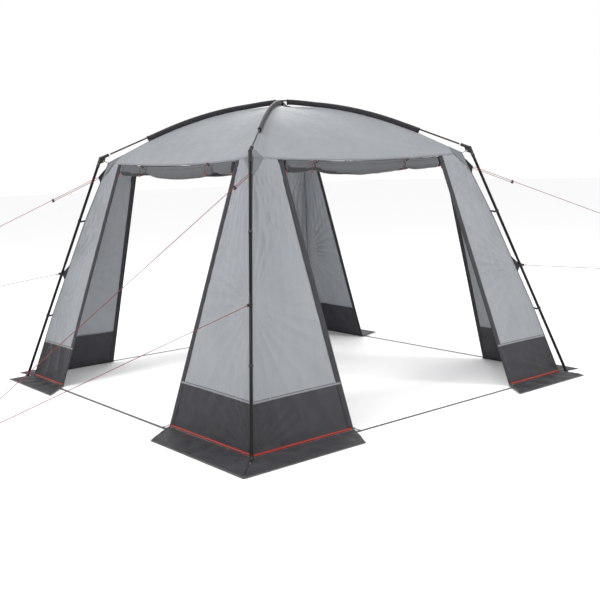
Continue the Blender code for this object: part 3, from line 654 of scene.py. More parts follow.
def woven_tape(name, code, rib_mm=1.6):
    """Woven polyester tape: firm cross ribs with a dry, slightly hairy face."""
    material, tree, shader = new_material(name)
    colour = linear(code)
    cut = add_node(tree, "ShaderNodeUVMap", uv_map="cut").outputs["UV"]
    ribs = add_node(
        tree,
        "ShaderNodeTexWave",
        {"Vector": cut, "Scale": wave_scale(rib_mm), "Distortion": 0.6, "Detail": 1.0},
        bands_direction="Y",
    )
    fuzz_links = {"Vector": cut, "Scale": noise_scale(1.2), "Detail": 3.0, "Roughness": 0.7}
    fuzz = add_node(tree, "ShaderNodeTexNoise", fuzz_links)
    both = {0: ribs.outputs["Fac"], 1: fuzz.outputs["Fac"]}
    mixed = add_node(tree, "ShaderNodeMath", both, operation="MULTIPLY").outputs["Value"]
    tone = two_tone(tree, mixed, shade(colour, 0.72), shade(colour, 1.12), 0.05, 0.6)
    tree.links.new(tone, shader.inputs["Base Color"])
    bumped(tree, shader, mixed, 0.5, 0.0004)
    set_shader(shader, roughness=0.82, sheen=0.3, sheen_roughness=0.5, specular=0.25)
    return material


def braided_cord(name, code, fleck):
    """Braided polyester cord: a diamond braid whose strands catch the light one by one."""
    material, tree, shader = new_material(name)
    cut = add_node(tree, "ShaderNodeTexCoord").outputs["Object"]
    braid = add_node(
        tree, "ShaderNodeTexVoronoi", {"Vector": cut, "Scale": noise_scale(2.2), "Randomness": 0.35}
    )
    tone = two_tone(tree, braid.outputs["Distance"], linear(fleck), linear(code), 0.05, 0.45)
    tree.links.new(tone, shader.inputs["Base Color"])
    bumped(tree, shader, braid.outputs["Distance"], 0.6, 0.0004, invert=True)
    set_shader(shader, roughness=0.7, sheen=0.25, specular=0.3)
    return material


def moulded_nylon(name, code):
    """Injection-moulded nylon: a spark-eroded grain, dull on the flats and rubbed on the ridges."""
    material, tree, shader = new_material(name)
    colour = linear(code)
    place = add_node(tree, "ShaderNodeTexCoord").outputs["Object"]
    grain = add_node(tree, "ShaderNodeTexNoise", {"Vector": place, "Scale": noise_scale(0.9), "Detail": 3.0})
    flow = add_node(tree, "ShaderNodeTexNoise", {"Vector": place, "Scale": noise_scale(22), "Detail": 2.0})
    ridges = add_node(tree, "ShaderNodeNewGeometry").outputs["Pointiness"]
    rubbed = two_tone(tree, ridges, shade(colour, 0.9), shade(colour, 2.0), 0.52, 0.62)
    tree.links.new(rubbed, shader.inputs["Base Color"])
    gloss = two_tone(tree, flow.outputs["Fac"], (0.38, 0.38, 0.38, 1), (0.55, 0.55, 0.55, 1))
    tree.links.new(gloss, shader.inputs["Roughness"])
    bumped(tree, shader, grain.outputs["Fac"], 0.25, 0.0003)
    set_shader(shader, ior=1.53, specular=0.35)
    return material


def powder_coated_steel(name, code):
    """Thin steel tube with a baked powder coat: slight orange peel and fine rubbed lines."""
    material, tree, shader = new_material(name)
    colour = linear(code)
    place = add_node(tree, "ShaderNodeTexCoord").outputs["Object"]
    peel = add_node(tree, "ShaderNodeTexNoise", {"Vector": place, "Scale": noise_scale(1.6), "Detail": 2.0})
    rub_links = {"Vector": place, "Scale": noise_scale(45), "Detail": 6.0, "Roughness": 0.75}
    rubs = add_node(tree, "ShaderNodeTexNoise", rub_links)
    tone = two_tone(tree, rubs.outputs["Fac"], shade(colour, 0.8), shade(colour, 1.4), 0.45, 0.75)
    tree.links.new(tone, shader.inputs["Base Color"])
    gloss = two_tone(tree, rubs.outputs["Fac"], (0.3, 0.3, 0.3, 1), (0.46, 0.46, 0.46, 1), 0.35, 0.7)
    tree.links.new(gloss, shader.inputs["Roughness"])
    bumped(tree, shader, peel.outputs["Fac"], 0.2, 0.0002)
    set_shader(shader, ior=1.5, specular=0.16)
    return material


def glass_fibre_rod(name, code):
    """Pultruded glass fibre: long glossy streaks along the rod under a clear resin skin."""
    material, tree, shader = new_material(name)
    colour = linear(code)
    cut = add_node(tree, "ShaderNodeUVMap", uv_map="cut").outputs["UV"]
    drawn = add_node(tree, "ShaderNodeMapping", {"Vector": cut, "Scale": (1.0, 0.02, 1.0)})
    streak_links = {"Vector": drawn.outputs["Vector"], "Scale": noise_scale(0.8), "Detail": 3.0}
    streaks = add_node(tree, "ShaderNodeTexNoise", streak_links)
    tone = two_tone(tree, streaks.outputs["Fac"], shade(colour, 0.75), shade(colour, 1.6))
    tree.links.new(tone, shader.inputs["Base Color"])
    bumped(tree, shader, streaks.outputs["Fac"], 0.15, 0.0002)
    set_shader(shader, roughness=0.34, ior=1.55, specular=0.2, coat=0.06, coat_roughness=0.15)
    return material


def drawn_metal(name, code, roughness):
    """Drawn or plated metal: a bright, slightly hazy surface."""
    material, tree, shader = new_material(name)
    colour = linear(code)
    place = add_node(tree, "ShaderNodeTexCoord").outputs["Object"]
    haze = add_node(tree, "ShaderNodeTexNoise", {"Vector": place, "Scale": noise_scale(3), "Detail": 5.0})
    tone = two_tone(tree, haze.outputs["Fac"], shade(colour, 0.85), shade(colour, 1.05))
    tree.links.new(tone, shader.inputs["Base Color"])
    low, high = roughness * 0.8, roughness * 1.3
    gloss = two_tone(tree, haze.outputs["Fac"], (low, low, low, 1), (high, high, high, 1))
    tree.links.new(gloss, shader.inputs["Roughness"])
    set_shader(shader, metallic=1.0)
    return material


def studio_paper(name, code):
    """Matt background paper: almost flat, with the faintest fibre."""
    material, tree, shader = new_material(name)
    colour = linear(code)
    place = add_node(tree, "ShaderNodeTexCoord").outputs["Object"]
    fibre = add_node(tree, "ShaderNodeTexNoise", {"Vector": place, "Scale": noise_scale(400), "Detail": 2.0})
    tone = two_tone(tree, fibre.outputs["Fac"], shade(colour, 0.995), shade(colour, 1.0))
    tree.links.new(tone, shader.inputs["Base Color"])
    set_shader(shader, roughness=0.95, specular=0.1)
    return material


def known(name, maker, *values):
    """A material by name, made once."""
    return bpy.data.materials.get(name) or maker(name, *values)


def silver_cloth():
    looks = bpy.context.scene.shelter_cloth
    return known("silver_coated_polyester", coated_polyester, looks.light_colour, 0.003 * looks.crease, 0.2)


def charcoal_cloth():
    looks = bpy.context.scene.shelter_cloth
    return known("charcoal_coated_polyester", coated_polyester, looks.dark_colour, 0.003 * looks.crease, 0.2)


def taut_cloth():
    looks = bpy.context.scene.shelter_cloth
    return known("silver_coated_polyester_taut", coated_polyester, looks.light_colour, 0.0004 * looks.crease)


def shaded_rolled_cloth():
    """The same light cloth, darkened as painted shade: it stands in for the shade under the eave and for the
    light that many layers of cloth keep from coming through.
    """
    looks = bpy.context.scene.shelter_cloth
    return known("silver_coated_polyester_rolled", coated_polyester, looks.light_colour, 0.002, 0.3, 0.36)


def black_tape():
    return known("black_woven_tape", woven_tape, "161618")


def red_tape():
    return known("red_woven_tape", woven_tape, bpy.context.scene.shelter_cloth.tape_colour)


def grey_tape():
    return known("grey_woven_tape", woven_tape, "77797D")


def red_cord():
    return known("red_braided_cord", braided_cord, bpy.context.scene.shelter_ropes.colour, "2E0A07")


def black_nylon():
    return known("black_moulded_nylon", moulded_nylon, "121214")


def red_nylon():
    return known("red_moulded_nylon", moulded_nylon, "8E2A20")


def black_steel():
    return known("black_powder_coated_steel", powder_coated_steel, bpy.context.scene.shelter_frame.leg_colour)


def black_rod():
    return known("black_glass_fibre", glass_fibre_rod, "0C0C0D")


def bright_ferrule():
    return known("bright_drawn_aluminium", drawn_metal, "C9CBCE", 0.28)


def plated_wire():
    return known("plated_steel_wire", drawn_metal, "8A8C90", 0.3)


# ---------------------------------------------------------------- frame pieces


def build_roof_poles():
    """Two bent glass-fibre poles with bright ferrules near their ends."""
    for first, second in (("left", "right"), ("front", "back")):
        stop = SOCKET_STOP + 2 * FIT
        near = [POLE_STRAIGHT_FROM * i / 24 for i in range(1, 25)]
        far_ends = [elbow_bend(c) + pole_way(c) * stop for c in (first, second)]
        path = [far_ends[0]] + [pole_point(first, d) for d in reversed(near)] + [pole_point(first, 0)]
        path += [pole_point(second, d) for d in near] + [far_ends[1]]
        pole = sweep(
            f"glass_fibre_pole_{first}_{second}", path, ROOF_POLE_D / 2, black_rod(), sides=16
        )
        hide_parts(f"roof_pole_{first}_{second}")
        for corner in (first, second):
            way = pole_way(corner)
            mouth = elbow_bend(corner) + way * (ELBOW_ARM + 0.004)
            collar = [mouth, mouth + way * 0.011]
            sweep(f"pole_ferrule_{corner}", collar, ROOF_POLE_D / 2 + 0.0012, bright_ferrule(), sides=20)


def build_legs():
    """Four steel legs, each with a swaged joint half way and a moulded nylon tip on its foot."""
    for corner in CORNERS:
        bend, way = elbow_bend(corner), leg_way(corner)
        foot = foot_of(corner)
        length = (foot - bend).length
        stations = [SOCKET_STOP + 2 * FIT]
        half = length * 0.5
        stations += [half - 0.05, half - 0.048, half - 0.002, half]
        stations += [length - 0.07, length - 0.068, length - 0.012]

        def radius_at(share):
            here = stations[round(share * (len(stations) - 1))]
            swaged = half - 0.049 < here < half - 0.001
            return LEG_D / 2 - (0.0009 if swaged else 0.0)

        path = [bend + way * s for s in stations]
        leg = sweep(f"steel_leg_{corner}", path, radius_at, black_steel(), sides=24)
        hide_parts(f"leg_{corner}")
        button = turned("button", [(0.003, 0), (0.003, 0.002), (0.0022, 0.0031), (0.001, 0.0034)], 14)
        at = bend + way * (half - 0.03)
        inward = Vector((-way.x, -way.y, 0)).normalized()
        side = way.cross(inward).normalized()
        face = side.cross(way).normalized()
        matrix = frame_matrix(at + face * (LEG_D / 2 - 0.0015), way, side, face)
        piece(f"spring_button_{corner}", placed(button, matrix), bright_ferrule())
        tip_path = [foot - way * 0.034, foot - way * 0.032, foot - way * 0.013, foot - way * 0.011]
        rim = LEG_D / 2 + 0.0016
        tip = sweep(f"leg_tip_{corner}", tip_path, rim, black_nylon(), sides=24)
        flat = turned("tip_sole", [(rim, 0.0), (rim + 0.0006, 0.002), (rim, 0.016)])
        sole = piece(f"leg_sole_{corner}", placed(flat, Matrix.Translation(foot)), black_nylon())
        sole.parent = tip


def arm_ways():
    """The two arms of an elbow in its own plane, with its web towards +X."""
    opening = pole_way("back").angle(leg_way("back"))
    return (
        Vector((math.cos(opening / 2), math.sin(opening / 2), 0)),
        Vector((math.cos(opening / 2), -math.sin(opening / 2), 0)),
    )


def socket_mesh(bore, outer, length):
    """One socket arm: a lip at its mouth, a blind bore and a slight draft along its outside."""
    profile = [
        (0.001, SOCKET_STOP),
        (bore, SOCKET_STOP),
        (bore, length - 0.0006),
        (bore + 0.0006, length),
        (outer - 0.0006, length),
        (outer, length - 0.0008),
        (outer, length - 0.010),
        (outer - 0.0010, length - 0.0115),
        (outer - 0.0007, 0.004),
        (outer - 0.004, 0.0),
        (0.001, 0.0),
    ]
    return turned("socket", profile, 28)


def build_elbows():
    """Four moulded elbows: two sockets on a ball, a web with a rimmed eye, and a screw head on each face."""
    to_pole, to_leg = arm_ways()
    parts = []
    for way, inside, outside in ((to_pole, ROOF_POLE_D, ELBOW_D - ELBOW_ARM_STEP), (to_leg, LEG_D, ELBOW_D)):
        socket = socket_mesh(inside / 2 + FIT, outside / 2, ELBOW_ARM)
        parts.append(placed(socket, frame_matrix(Vector(), UP.cross(way), UP, way)))
    shape = bmesh.new()
    bmesh.ops.create_uvsphere(shape, u_segments=28, v_segments=18, radius=ELBOW_D / 2 + 0.0004)
    ball = bpy.data.meshes.new("ball")
    shape.to_mesh(ball)
    shape.free()
    parts.append(ball)
    reach = ELBOW_WEB_REACH
    leg_end, pole_end = tuple((to_leg * reach).xy), tuple((to_pole * reach).xy)
    corners = [(0.0, 0.0), leg_end, (ELBOW_EYE_AT + 0.010, 0.0), pole_end]
    web = rounded_plate("web", round_outline(corners, 0.006), [(ELBOW_EYE_AT, 0, 0.005)], 0.0088, 0.0012)
    parts.append(web)
    parts.append(placed(rim_ring(0.0051, 0.0076, 0.0112), Matrix.Translation((ELBOW_EYE_AT, 0, 0))))
    for corner in CORNERS:
        pole, leg = pole_way(corner), leg_way(corner)
        middle = (pole + leg).normalized()
        across = (pole - leg).normalized()
        matrix = frame_matrix(elbow_bend(corner), middle, across, middle.cross(across))
        mesh = joined(f"moulded_elbow_{corner}", parts)
        mesh.transform(matrix)
        made = piece(f"moulded_elbow_{corner}", mesh, black_nylon())
        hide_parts(f"elbow_{corner}")
        head = turned("screw", [(0.0032, 0), (0.0032, 0.0012), (0.0026, 0.0018), (0.0012, 0.002)], 16)
        spot = to_leg * 0.048
        for letter, side in (("a", 1), ("b", -1)):
            out = Matrix.Rotation(0 if side > 0 else math.pi, 4, "X")
            local = Matrix.Translation((spot.x, spot.y, side * (ELBOW_D / 2 - 0.0012))) @ out
            screw = piece(f"elbow_screw_{corner}_{letter}", placed(head, matrix @ local), plated_wire())
            screw.parent = made


def rim_ring(inner, outer, tall):
    """A closed ring with a rectangular section and softened edges."""
    points, faces = [], []
    sides, edge = 24, 0.0005
    half = tall / 2
    section = [
        (inner, -half + edge), (inner + edge, -half), (outer - edge, -half), (outer, -half + edge),
        (outer, half - edge), (outer - edge, half), (inner + edge, half), (inner, half - edge),
    ]
    for k in range(sides):
        turn = 2 * math.pi * k / sides
        points += [Vector((r * math.cos(turn), r * math.sin(turn), z)) for r, z in section]
    count = len(section)
    for k in range(sides):
        m = (k + 1) % sides
        for i in range(count):
            j = (i + 1) % count
            faces.append((k * count + i, k * count + j, m * count + j, m * count + i))
    mesh = mesh_from("ring", points, faces)
    face_out(mesh)
    return mesh


# ---------------------------------------------------------------- canopy pieces


def build_sleeves():
    """Four dark sleeves that carry the roof under the poles: a round top drawn in to a seam."""
    for number, corner in enumerate(CORNERS):
        way = corner_way(corner, ELBOW_HALF_X, ELBOW_HALF_Y)
        across = Vector((-way.y, way.x, 0))
        ripple = seeded_waves(31 + number, 5, 0.16)
        wide, tall = ROOF_POLE_D / 2 + 0.0046, ROOF_POLE_D / 2 + 0.0040
        seam = -RIDGE_DROP / math.hypot(1, POLE_SLOPE) - 0.0009
        rows, uvs = [], []
        steps = 72
        for i in range(steps + 1):
            distance = SLEEVE_START + (SLEEVE_END - SLEEVE_START) * i / steps
            here = pole_point(corner, distance)
            ahead = pole_point(corner, distance + 0.01) - pole_point(corner, distance - 0.01)
            up = ahead.cross(across).normalized()
            up = up if up.z > 0 else -up
            full = 1 + 0.10 * ripple(here)
            section = [(0.0012, seam), (0.0034, -0.024), (0.0072, -0.015), (0.0104, -0.006)]
            section += [(wide * math.cos(t), tall * math.sin(t)) for t in (0, 0.4, 0.8, 1.2)]
            section += [(0.0, tall)]
            whole = section + [(-x, y) for x, y in reversed(section[:-1])]
            run, previous = 0.0, None
            row, uv_row = [], []
            for x, y in whole:
                point = here + across * x * full + up * y
                run += (point - previous).length if previous else 0.0
                previous = point
                row.append(point)
                uv_row.append((run, distance))
            rows.append(row)
            uvs.append(uv_row)
        pole = "roof_pole_left_right" if corner in ("left", "right") else "roof_pole_front_back"
        made = sheet_piece(
            f"sleeve_{corner}", rows, uvs, UP, charcoal_cloth(), "stretched", [pole], thick=0.0007
        )
        if made.data.polygons[0].normal.dot(across) < 0:
            made.data.flip_normals()
        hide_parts(f"pole_sleeve_{corner}")
        for end, distance in (("inner", SLEEVE_START), ("outer", SLEEVE_END)):
            edge = rows[0] if end == "inner" else rows[-1]
            middle = sum(edge, Vector()) / len(edge)
            loop = [middle + (p - middle) * 1.06 for p in edge]
            ahead = (pole_point(corner, distance + 0.01) - pole_point(corner, distance - 0.01)).normalized()
            sweep(
                f"sleeve_hem_{corner}_{end}", loop, 0.0011, black_tape(), width=0.012, sides=8,
                closed=True, seam_up=lambda i, loop=loop, middle=middle: (loop[i] - middle).normalized(),
            )


def roof_relief(side, seed):
    """Soft tension folds of one roof panel, strongest at its two corners."""
    small = seeded_waves(seed, 6, 0.5)
    fine = seeded_waves(seed + 50, 6, 0.17)
    half, _ = eave_sizes(side)

    def relief(v, u, point):
        a = (2 * u - 1) * half * max(v, 0.05)
        b = v
        edge = min(1.0, u * 9, (1 - u) * 9)
        lift = 0.0040 * small(point) + 0.0014 * fine(point)
        lift += 0.0075 * fan(a, b, (-half, 1.04), 42, 0.6, seed)
        lift += 0.0075 * fan(a, b, (half, 1.04), 42, 0.6, seed + 1)
        lift += 0.0030 * math.sin(34 * (u - 0.5)) * math.exp(-((v / 0.35) ** 2)) * v * 3
        return lift * edge * min(1.0, (1 - v) * 12 + 0.15)

    return relief


def build_roof():
    """Four roof panels between the ridges, each a saddle that sags to its eave."""
    for number, side in enumerate(SIDES):
        first, second = SIDES[side]["ends"]
        deep, wide = 56, 64
        rows, uvs = [], []
        for i in range(deep + 1):
            share = 0.012 + 0.988 * i / deep
            start, end = ridge_point(first, share), ridge_point(second, share)
            span = (end - start).length
            row, uv_row = [], []
            for j in range(wide + 1):
                part = j / wide
                slack = (1 - (2 * part - 1) ** 2) * share**2
                dish = 0.016 * math.sin(math.pi * part) ** 2 * math.sin(math.pi * share)
                point = start.lerp(end, part) - SIDES[side]["out"] * EAVE_BOW * slack
                row.append(point - UP * (EAVE_SAG * slack + dish))
                uv_row.append(((part - 0.5) * span, share * EAVE_REACH * 0.8))
            rows.append(row)
            uvs.append(uv_row)
        made = sheet_piece(
            f"roof_cloth_{side}", rows, uvs, UP, taut_cloth(), "stretched",
            ["roof_pole_left_right", "roof_pole_front_back"], relief=roof_relief(side, 7 + 3 * number),
        )
        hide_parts(f"roof_panel_{side}")
        half, _ = eave_sizes(side)
        outside = SIDES[side]["out"] * 0.0014
        hem_path = [eave_point(side, (2 * k / 60 - 1) * half, 0.002) + outside for k in range(61)]
        sweep(
            f"eave_seam_{side}", hem_path, 0.0011, grey_tape(), width=0.010, sides=8,
            seam_up=SIDES[side]["out"],
        )
    build_crown_patch()


def build_crown_patch():
    """The doubled square of cloth under the crossing of the poles."""
    rings, sides = 5, 32
    rows, uvs = [], []
    for i in range(rings + 1):
        distance = 0.002 + 0.085 * i / rings
        row, uv_row = [], []
        for k in range(sides + 1):
            turn = 2 * math.pi * k / sides
            far = distance / (abs(math.cos(turn)) + abs(math.sin(turn))) ** 0.5
            z = pole_z(far) - RIDGE_DROP + 0.0016
            row.append(Vector((far * math.cos(turn), far * math.sin(turn), z)))
            uv_row.append((far * math.cos(turn), far * math.sin(turn)))
        rows.append(row)
        uvs.append(uv_row)
    sheet_piece("crown_patch", rows, uvs, UP, charcoal_cloth(), "stretched", ["roof_cloth_front_left"])


def wall_point(side, corner, part, share):
    """A point of a wall: part runs from the leg to the doorway, share from the ground up."""
    start, end = corner_edge(corner, share), door_edge(side, corner, share)
    hollow = 0.010 * math.sin(math.pi * part) * math.sin(math.pi * share)
    return start.lerp(end, part) - SIDES[side]["out"] * hollow


def wall_relief(side, corner):
    """Long folds of a wall: they hang from the eave and spread from the points that pull it."""
    seed = 11 + 4 * WINGS.index((side, corner))
    small = seeded_waves(seed, 5, 0.30)
    fine = seeded_waves(seed + 20, 6, 0.10)
    rng = np.random.default_rng(seed)
    pulls = [(EAVE_Z + 0.01, 34, 0.75, 0.0085), (0.0, 28, 0.5, 0.0070), (0.88, 30, 0.95, 0.0115)]
    pulls += [(height, 24, 0.30, 0.0050) for height in CLIP_HEIGHTS]
    turns = rng.uniform(0, 2 * math.pi, len(pulls))

    def relief(point, part):
        z = point.z
        a = (point - corner_edge(corner, z / EAVE_Z)).length
        lift = 0.0036 * small(point) + 0.0014 * fine(point)
        for (height, folds, reach, size), turn in zip(pulls, turns):
            lift += size * fan(a, z, (-0.015, height), folds, reach, turn)
        sway = 0.35 * math.sin(2.1 * z + seed)
        lift += 0.0038 * crease(40 * part + sway * 9 + seed) * math.exp(-(((z - 1.35) / 0.45) ** 2))
        held = min(1.0, part * 12, (1.02 - part) * 9)
        return lift * held * min(1.0, (EAVE_Z - z) * 16, z * 16 + 0.1)

    return relief


def wall_rows(side, corner, low, high, steps):
    """Points of a wall between two shares of its height, and their places on the cloth."""
    rows, uvs = [], []
    for i in range(steps + 1):
        share = low + (high - low) * i / steps
        width = (door_edge(side, corner, share) - corner_edge(corner, share)).length
        band = 1 - BAND_W / width
        row, uv_row = [], []
        for j in range(WALL_PARTS + 1):
            part = j / WALL_PARTS * (band + BAND_OVERLAP / width)
            row.append(wall_point(side, corner, part, share))
            uv_row.append((part * width, share * 1.86))
        rows.append(row)
        uvs.append(uv_row)
    return rows, uvs


def build_walls():
    """Eight walls, two at each corner: light cloth over a dark base, with a dark door band."""
    base_share = BASE_H / EAVE_Z
    for side, corner in WINGS:
        label = f"{corner}_{side}"
        out = wall_out(side, corner)
        relief = wall_relief(side, corner)
        rows, uvs = wall_rows(side, corner, base_share, 1.0, 100)
        upper = sheet_piece(
            f"wall_cloth_{label}", rows, uvs, out, silver_cloth(), "hung", [f"roof_cloth_{side}"],
            relief=lambda v, u, point: relief(point, u),
        )
        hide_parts(f"wall_{label}")
        rows, uvs = wall_rows(side, corner, 0.0, base_share + 0.006, 22)
        sheet_piece(
            f"wall_base_{label}", rows, uvs, out, charcoal_cloth(), "hung", [upper.name],
            relief=lambda v, u, point: relief(point, u) + 0.0004,
        )
        build_door_band(side, corner, label)
        build_wall_tapes(side, corner, label)
        build_foot_patch(side, corner, label)
    for corner in CORNERS:
        seam = [corner_edge(corner, i / 60 * 0.998) for i in range(61)]
        sweep(f"corner_binding_{corner}", seam, 0.0018, black_tape(), width=0.009, sides=8)


def build_door_band(side, corner, label):
    """The doubled dark band along a wall's free edge, with its zip coil."""
    out = wall_out(side, corner)
    rows, uvs = [], []
    steps = 60
    for i in range(steps + 1):
        share = i / steps
        edge = door_edge(side, corner, share)
        inward = corner_edge(corner, share) - edge
        inward.z = 0
        inward.normalize()
        rows.append([edge + inward * BAND_W * (1 - j / 4) + out * 0.0012 for j in range(5)])
        uvs.append([(j / 4 * BAND_W, share * 1.86) for j in range(5)])
    small = seeded_waves(3 + len(label), 5, 0.2)

    def relief(v, u, point):
        return 0.0010 * small(point) * (1 - u) * min(1.0, v * 10, (1 - v) * 10)

    sheet_piece(
        f"door_band_{label}", rows, uvs, out, charcoal_cloth(), "hung", [f"wall_cloth_{label}"],
        relief=relief, thick=0.0016,
    )
    coil = [door_edge(side, corner, i / 80) - out * 0.0006 for i in range(81)]
    away = (corner_edge(corner, 0.5) - door_edge(side, corner, 0.5)).normalized()
    coil = [p + away * 0.0022 for p in coil]
    sweep(f"zip_coil_{label}", coil, 0.0017, black_tape(), sides=10)


def build_wall_tapes(side, corner, label):
    """The seam over the dark base and the red tape along its foot."""
    out = wall_out(side, corner)
    base_share = BASE_H / EAVE_Z
    relief = wall_relief(side, corner)
    runs = {"seam": (base_share + 0.001, 0.013, grey_tape()), "foot": (0.0052, 0.012, red_tape())}
    for kind, (share, width, material) in runs.items():
        path = []
        for i in range(41):
            part = i / 40 * 0.985
            point = wall_point(side, corner, part, share)
            path.append(point + out * (0.0018 + relief(point, min(1.0, part / 0.93))))
        sweep(f"wall_{kind}_tape_{label}", path, TAPE / 2, material, width=width, sides=8, seam_up=out)


def build_foot_patch(side, corner, label):
    """The kite-shaped doubler on the dark base beside the leg's foot."""
    out = wall_out(side, corner)
    relief = wall_relief(side, corner)
    rows, uvs = [], []
    for i in range(9):
        drop = i / 8
        reach = 0.062 * (1 - abs(2 * drop - 1)) + 0.002
        row, uv_row = [], []
        for j in range(5):
            share = (0.022 + 0.085 * (1 - drop)) / EAVE_Z
            width = (door_edge(side, corner, share) - corner_edge(corner, share)).length
            point = wall_point(side, corner, reach * j / 4 / width, share)
            row.append(point + out * (0.0016 + relief(point, reach * j / 4 / width)))
            uv_row.append((reach * j / 4, drop * 0.085))
        rows.append(row)
        uvs.append(uv_row)
    sheet_piece(f"foot_patch_{label}", rows, uvs, out, dark_doubler(), "hung", [f"wall_base_{label}"])


def dark_doubler():
    return known("black_doubler_polyester", coated_polyester, "29292C", 0.001)


def build_skirts():
    """Dark skirts that lie out on the ground round each corner, bound in black."""
    for number, (side, corner) in enumerate(WINGS):
        label = f"{corner}_{side}"
        sign = end_sign(side, corner)
        foot, far = WALL_PEGS[(side, corner)]
        wide = corner in WIDE_SKIRT_CORNERS
        reach = SKIRT_OUT - 0.0015 if wide else FOOT_HALF
        outer = SKIRT_OUT if wide else SKIRT_OUT - SKIRT_END_BACK
        ripple = seeded_waves(61 + number, 6, 0.26)
        fine = seeded_waves(81 + number, 5, 0.09)
        rows, uvs = [], []
        deep, long = 16, 44
        for i in range(deep + 1):
            t = i / deep
            out = WALL_FOOT_HALF + (outer - WALL_FOOT_HALF) * t
            near_leg = 0.014 * math.exp(-(((out - FOOT_HALF) / 0.018) ** 2)) if wide else 0.0
            start, end = foot + (far - foot) * t, WALL_FOOT_HALF + (reach - WALL_FOOT_HALF) * t - near_leg
            places = [start + (end - start) * j / long for j in range(long + 1)]
            rows.append([side_point(side, sign * place, out, 0.0042) for place in places])
            uvs.append([(place, out) for place in places])

        def relief(v, u, point):
            pegged = min(1.0, (1 - v) * 5 + 0.12) * min(1.0, v * 5 + 0.1)
            lift = 0.0095 * abs(ripple(point)) + 0.0022 * fine(point)
            return max(0.0, lift) * pegged

        made = sheet_piece(
            f"skirt_cloth_{label}", rows, uvs, UP, charcoal_cloth(), "laid", ["floor"], relief=relief
        )
        if side == first_side(corner):
            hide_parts(f"skirt_{corner}")
        mesh = made.data
        edge = [mesh.vertices[deep * (long + 1) + j].co.copy() + UP * 0.0003 for j in range(long + 1)]
        sweep(f"skirt_binding_{label}", edge, 0.0013, black_tape(), width=0.012, sides=8)
        short = [mesh.vertices[i * (long + 1)].co.copy() + UP * 0.0003 for i in range(deep + 1)]
        sweep(f"skirt_end_binding_{label}", short, 0.0013, black_tape(), width=0.010, sides=8)


def build_ground_strap():
    """The flat webbing that joins the four feet."""
    half = FOOT_HALF
    turn = 2 * FOOT_HALF - math.sqrt(2) * (LEG_D / 2 / 0.92 + 0.004 + STRAP_W / 2) - half
    path = []
    for x, y in CORNERS.values():
        pair = [Vector((x * half, y * turn, 0)), Vector((x * turn, y * half, 0))]
        path += pair if x * y > 0 else list(reversed(pair))
    fine = []
    for i, here in enumerate(path):
        after = path[(i + 1) % len(path)]
        steps = 30 if (after - here).length > 0.5 else 3
        fine += [here.lerp(after, k / steps) + UP * 0.00115 for k in range(steps)]
    strap = sweep("webbing_loop", fine, 0.00075, black_tape(), width=STRAP_W, sides=8, closed=True)
    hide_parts("ground_strap")
    for side, corner in WINGS:
        build_peg_hook(side, corner)


def build_peg_hook(side, corner):
    """A wire ring on the webbing, and the webbing tab that holds the foot of a wall's free edge to it."""
    sign = end_sign(side, corner)
    foot, _ = WALL_PEGS[(side, corner)]
    out, along = SIDES[side]["out"], SIDES[side]["along"]
    at = side_point(side, sign * (foot - 0.02), FOOT_HALF + 0.004, 0.0045)
    ring = [
        at + (along * math.cos(t) + out * math.sin(t)) * 0.016 + UP * 0.001 * (1 + math.sin(2 * t))
        for t in (2 * math.pi * k / 28 for k in range(28))
    ]
    sweep(f"peg_ring_{corner}_{side}", ring, 0.0014, plated_wire(), sides=10, closed=True)
    tab = [
        side_point(side, sign * (foot + 0.006), WALL_FOOT_HALF + 0.004, 0.020),
        side_point(side, sign * (foot + 0.002), WALL_FOOT_HALF + 0.014, 0.014),
        side_point(side, sign * (foot - 0.008), WALL_FOOT_HALF + 0.032, 0.009),
        side_point(side, sign * (foot - 0.015), WALL_FOOT_HALF + 0.045, 0.0072),
    ]
    sweep(f"peg_tab_{corner}_{side}", tab, 0.0009, black_tape(), width=0.016, sides=8)


# ---------------------------------------------------------------- fittings at the corners


def build_corner_fittings():
    """Hooks at the elbows, patches on the eave corners, clips on the legs and the guy tabs."""
    for corner in CORNERS:
        build_corner_hook(corner)
        build_corner_patches(corner)
        for height in CLIP_HEIGHTS:
            build_leg_clip(corner, height)
    for corner in UPPER_GUYS:
        build_upper_tab(corner)
    for corner in LOWER_GUYS:
        build_lower_tab(corner)


def elbow_eye(corner):
    middle = (pole_way(corner) + leg_way(corner)).normalized()
    return elbow_bend(corner) + middle * ELBOW_EYE_AT


def build_corner_hook(corner):
    """A curved moulded hook in the elbow's eye, on a webbing loop sewn to the cloth's corner."""
    eye = elbow_eye(corner)
    cloth = Vector((CORNERS[corner][0] * EAVE_HALF_X, CORNERS[corner][1] * EAVE_HALF_Y, EAVE_Z))
    out = Vector((CORNERS[corner][0], CORNERS[corner][1], 0)).normalized()
    side = Vector((-out.y, out.x, 0))
    ring = cloth + out * 0.016 + UP * 0.002
    hook = [
        eye + side * 0.010 - out * 0.001,
        eye + side * 0.004 + out * 0.002,
        eye - side * 0.004 + out * 0.001,
        eye - side * 0.010 - out * 0.006,
        eye - side * 0.008 - out * 0.016 - UP * 0.003,
        ring - side * 0.006,
        ring + side * 0.006,
    ]
    sweep(f"corner_hook_{corner}", smooth(hook, 5), 0.0019, black_nylon(), sides=10)
    loop = [
        ring + out * 0.003,
        ring - out * 0.004 - UP * 0.001,
        cloth - out * 0.006 - UP * 0.004,
        cloth - out * 0.020 - UP * 0.010,
    ]
    sweep(f"corner_loop_{corner}", smooth(loop, 4), 0.0016, black_tape(), width=0.018, sides=8)


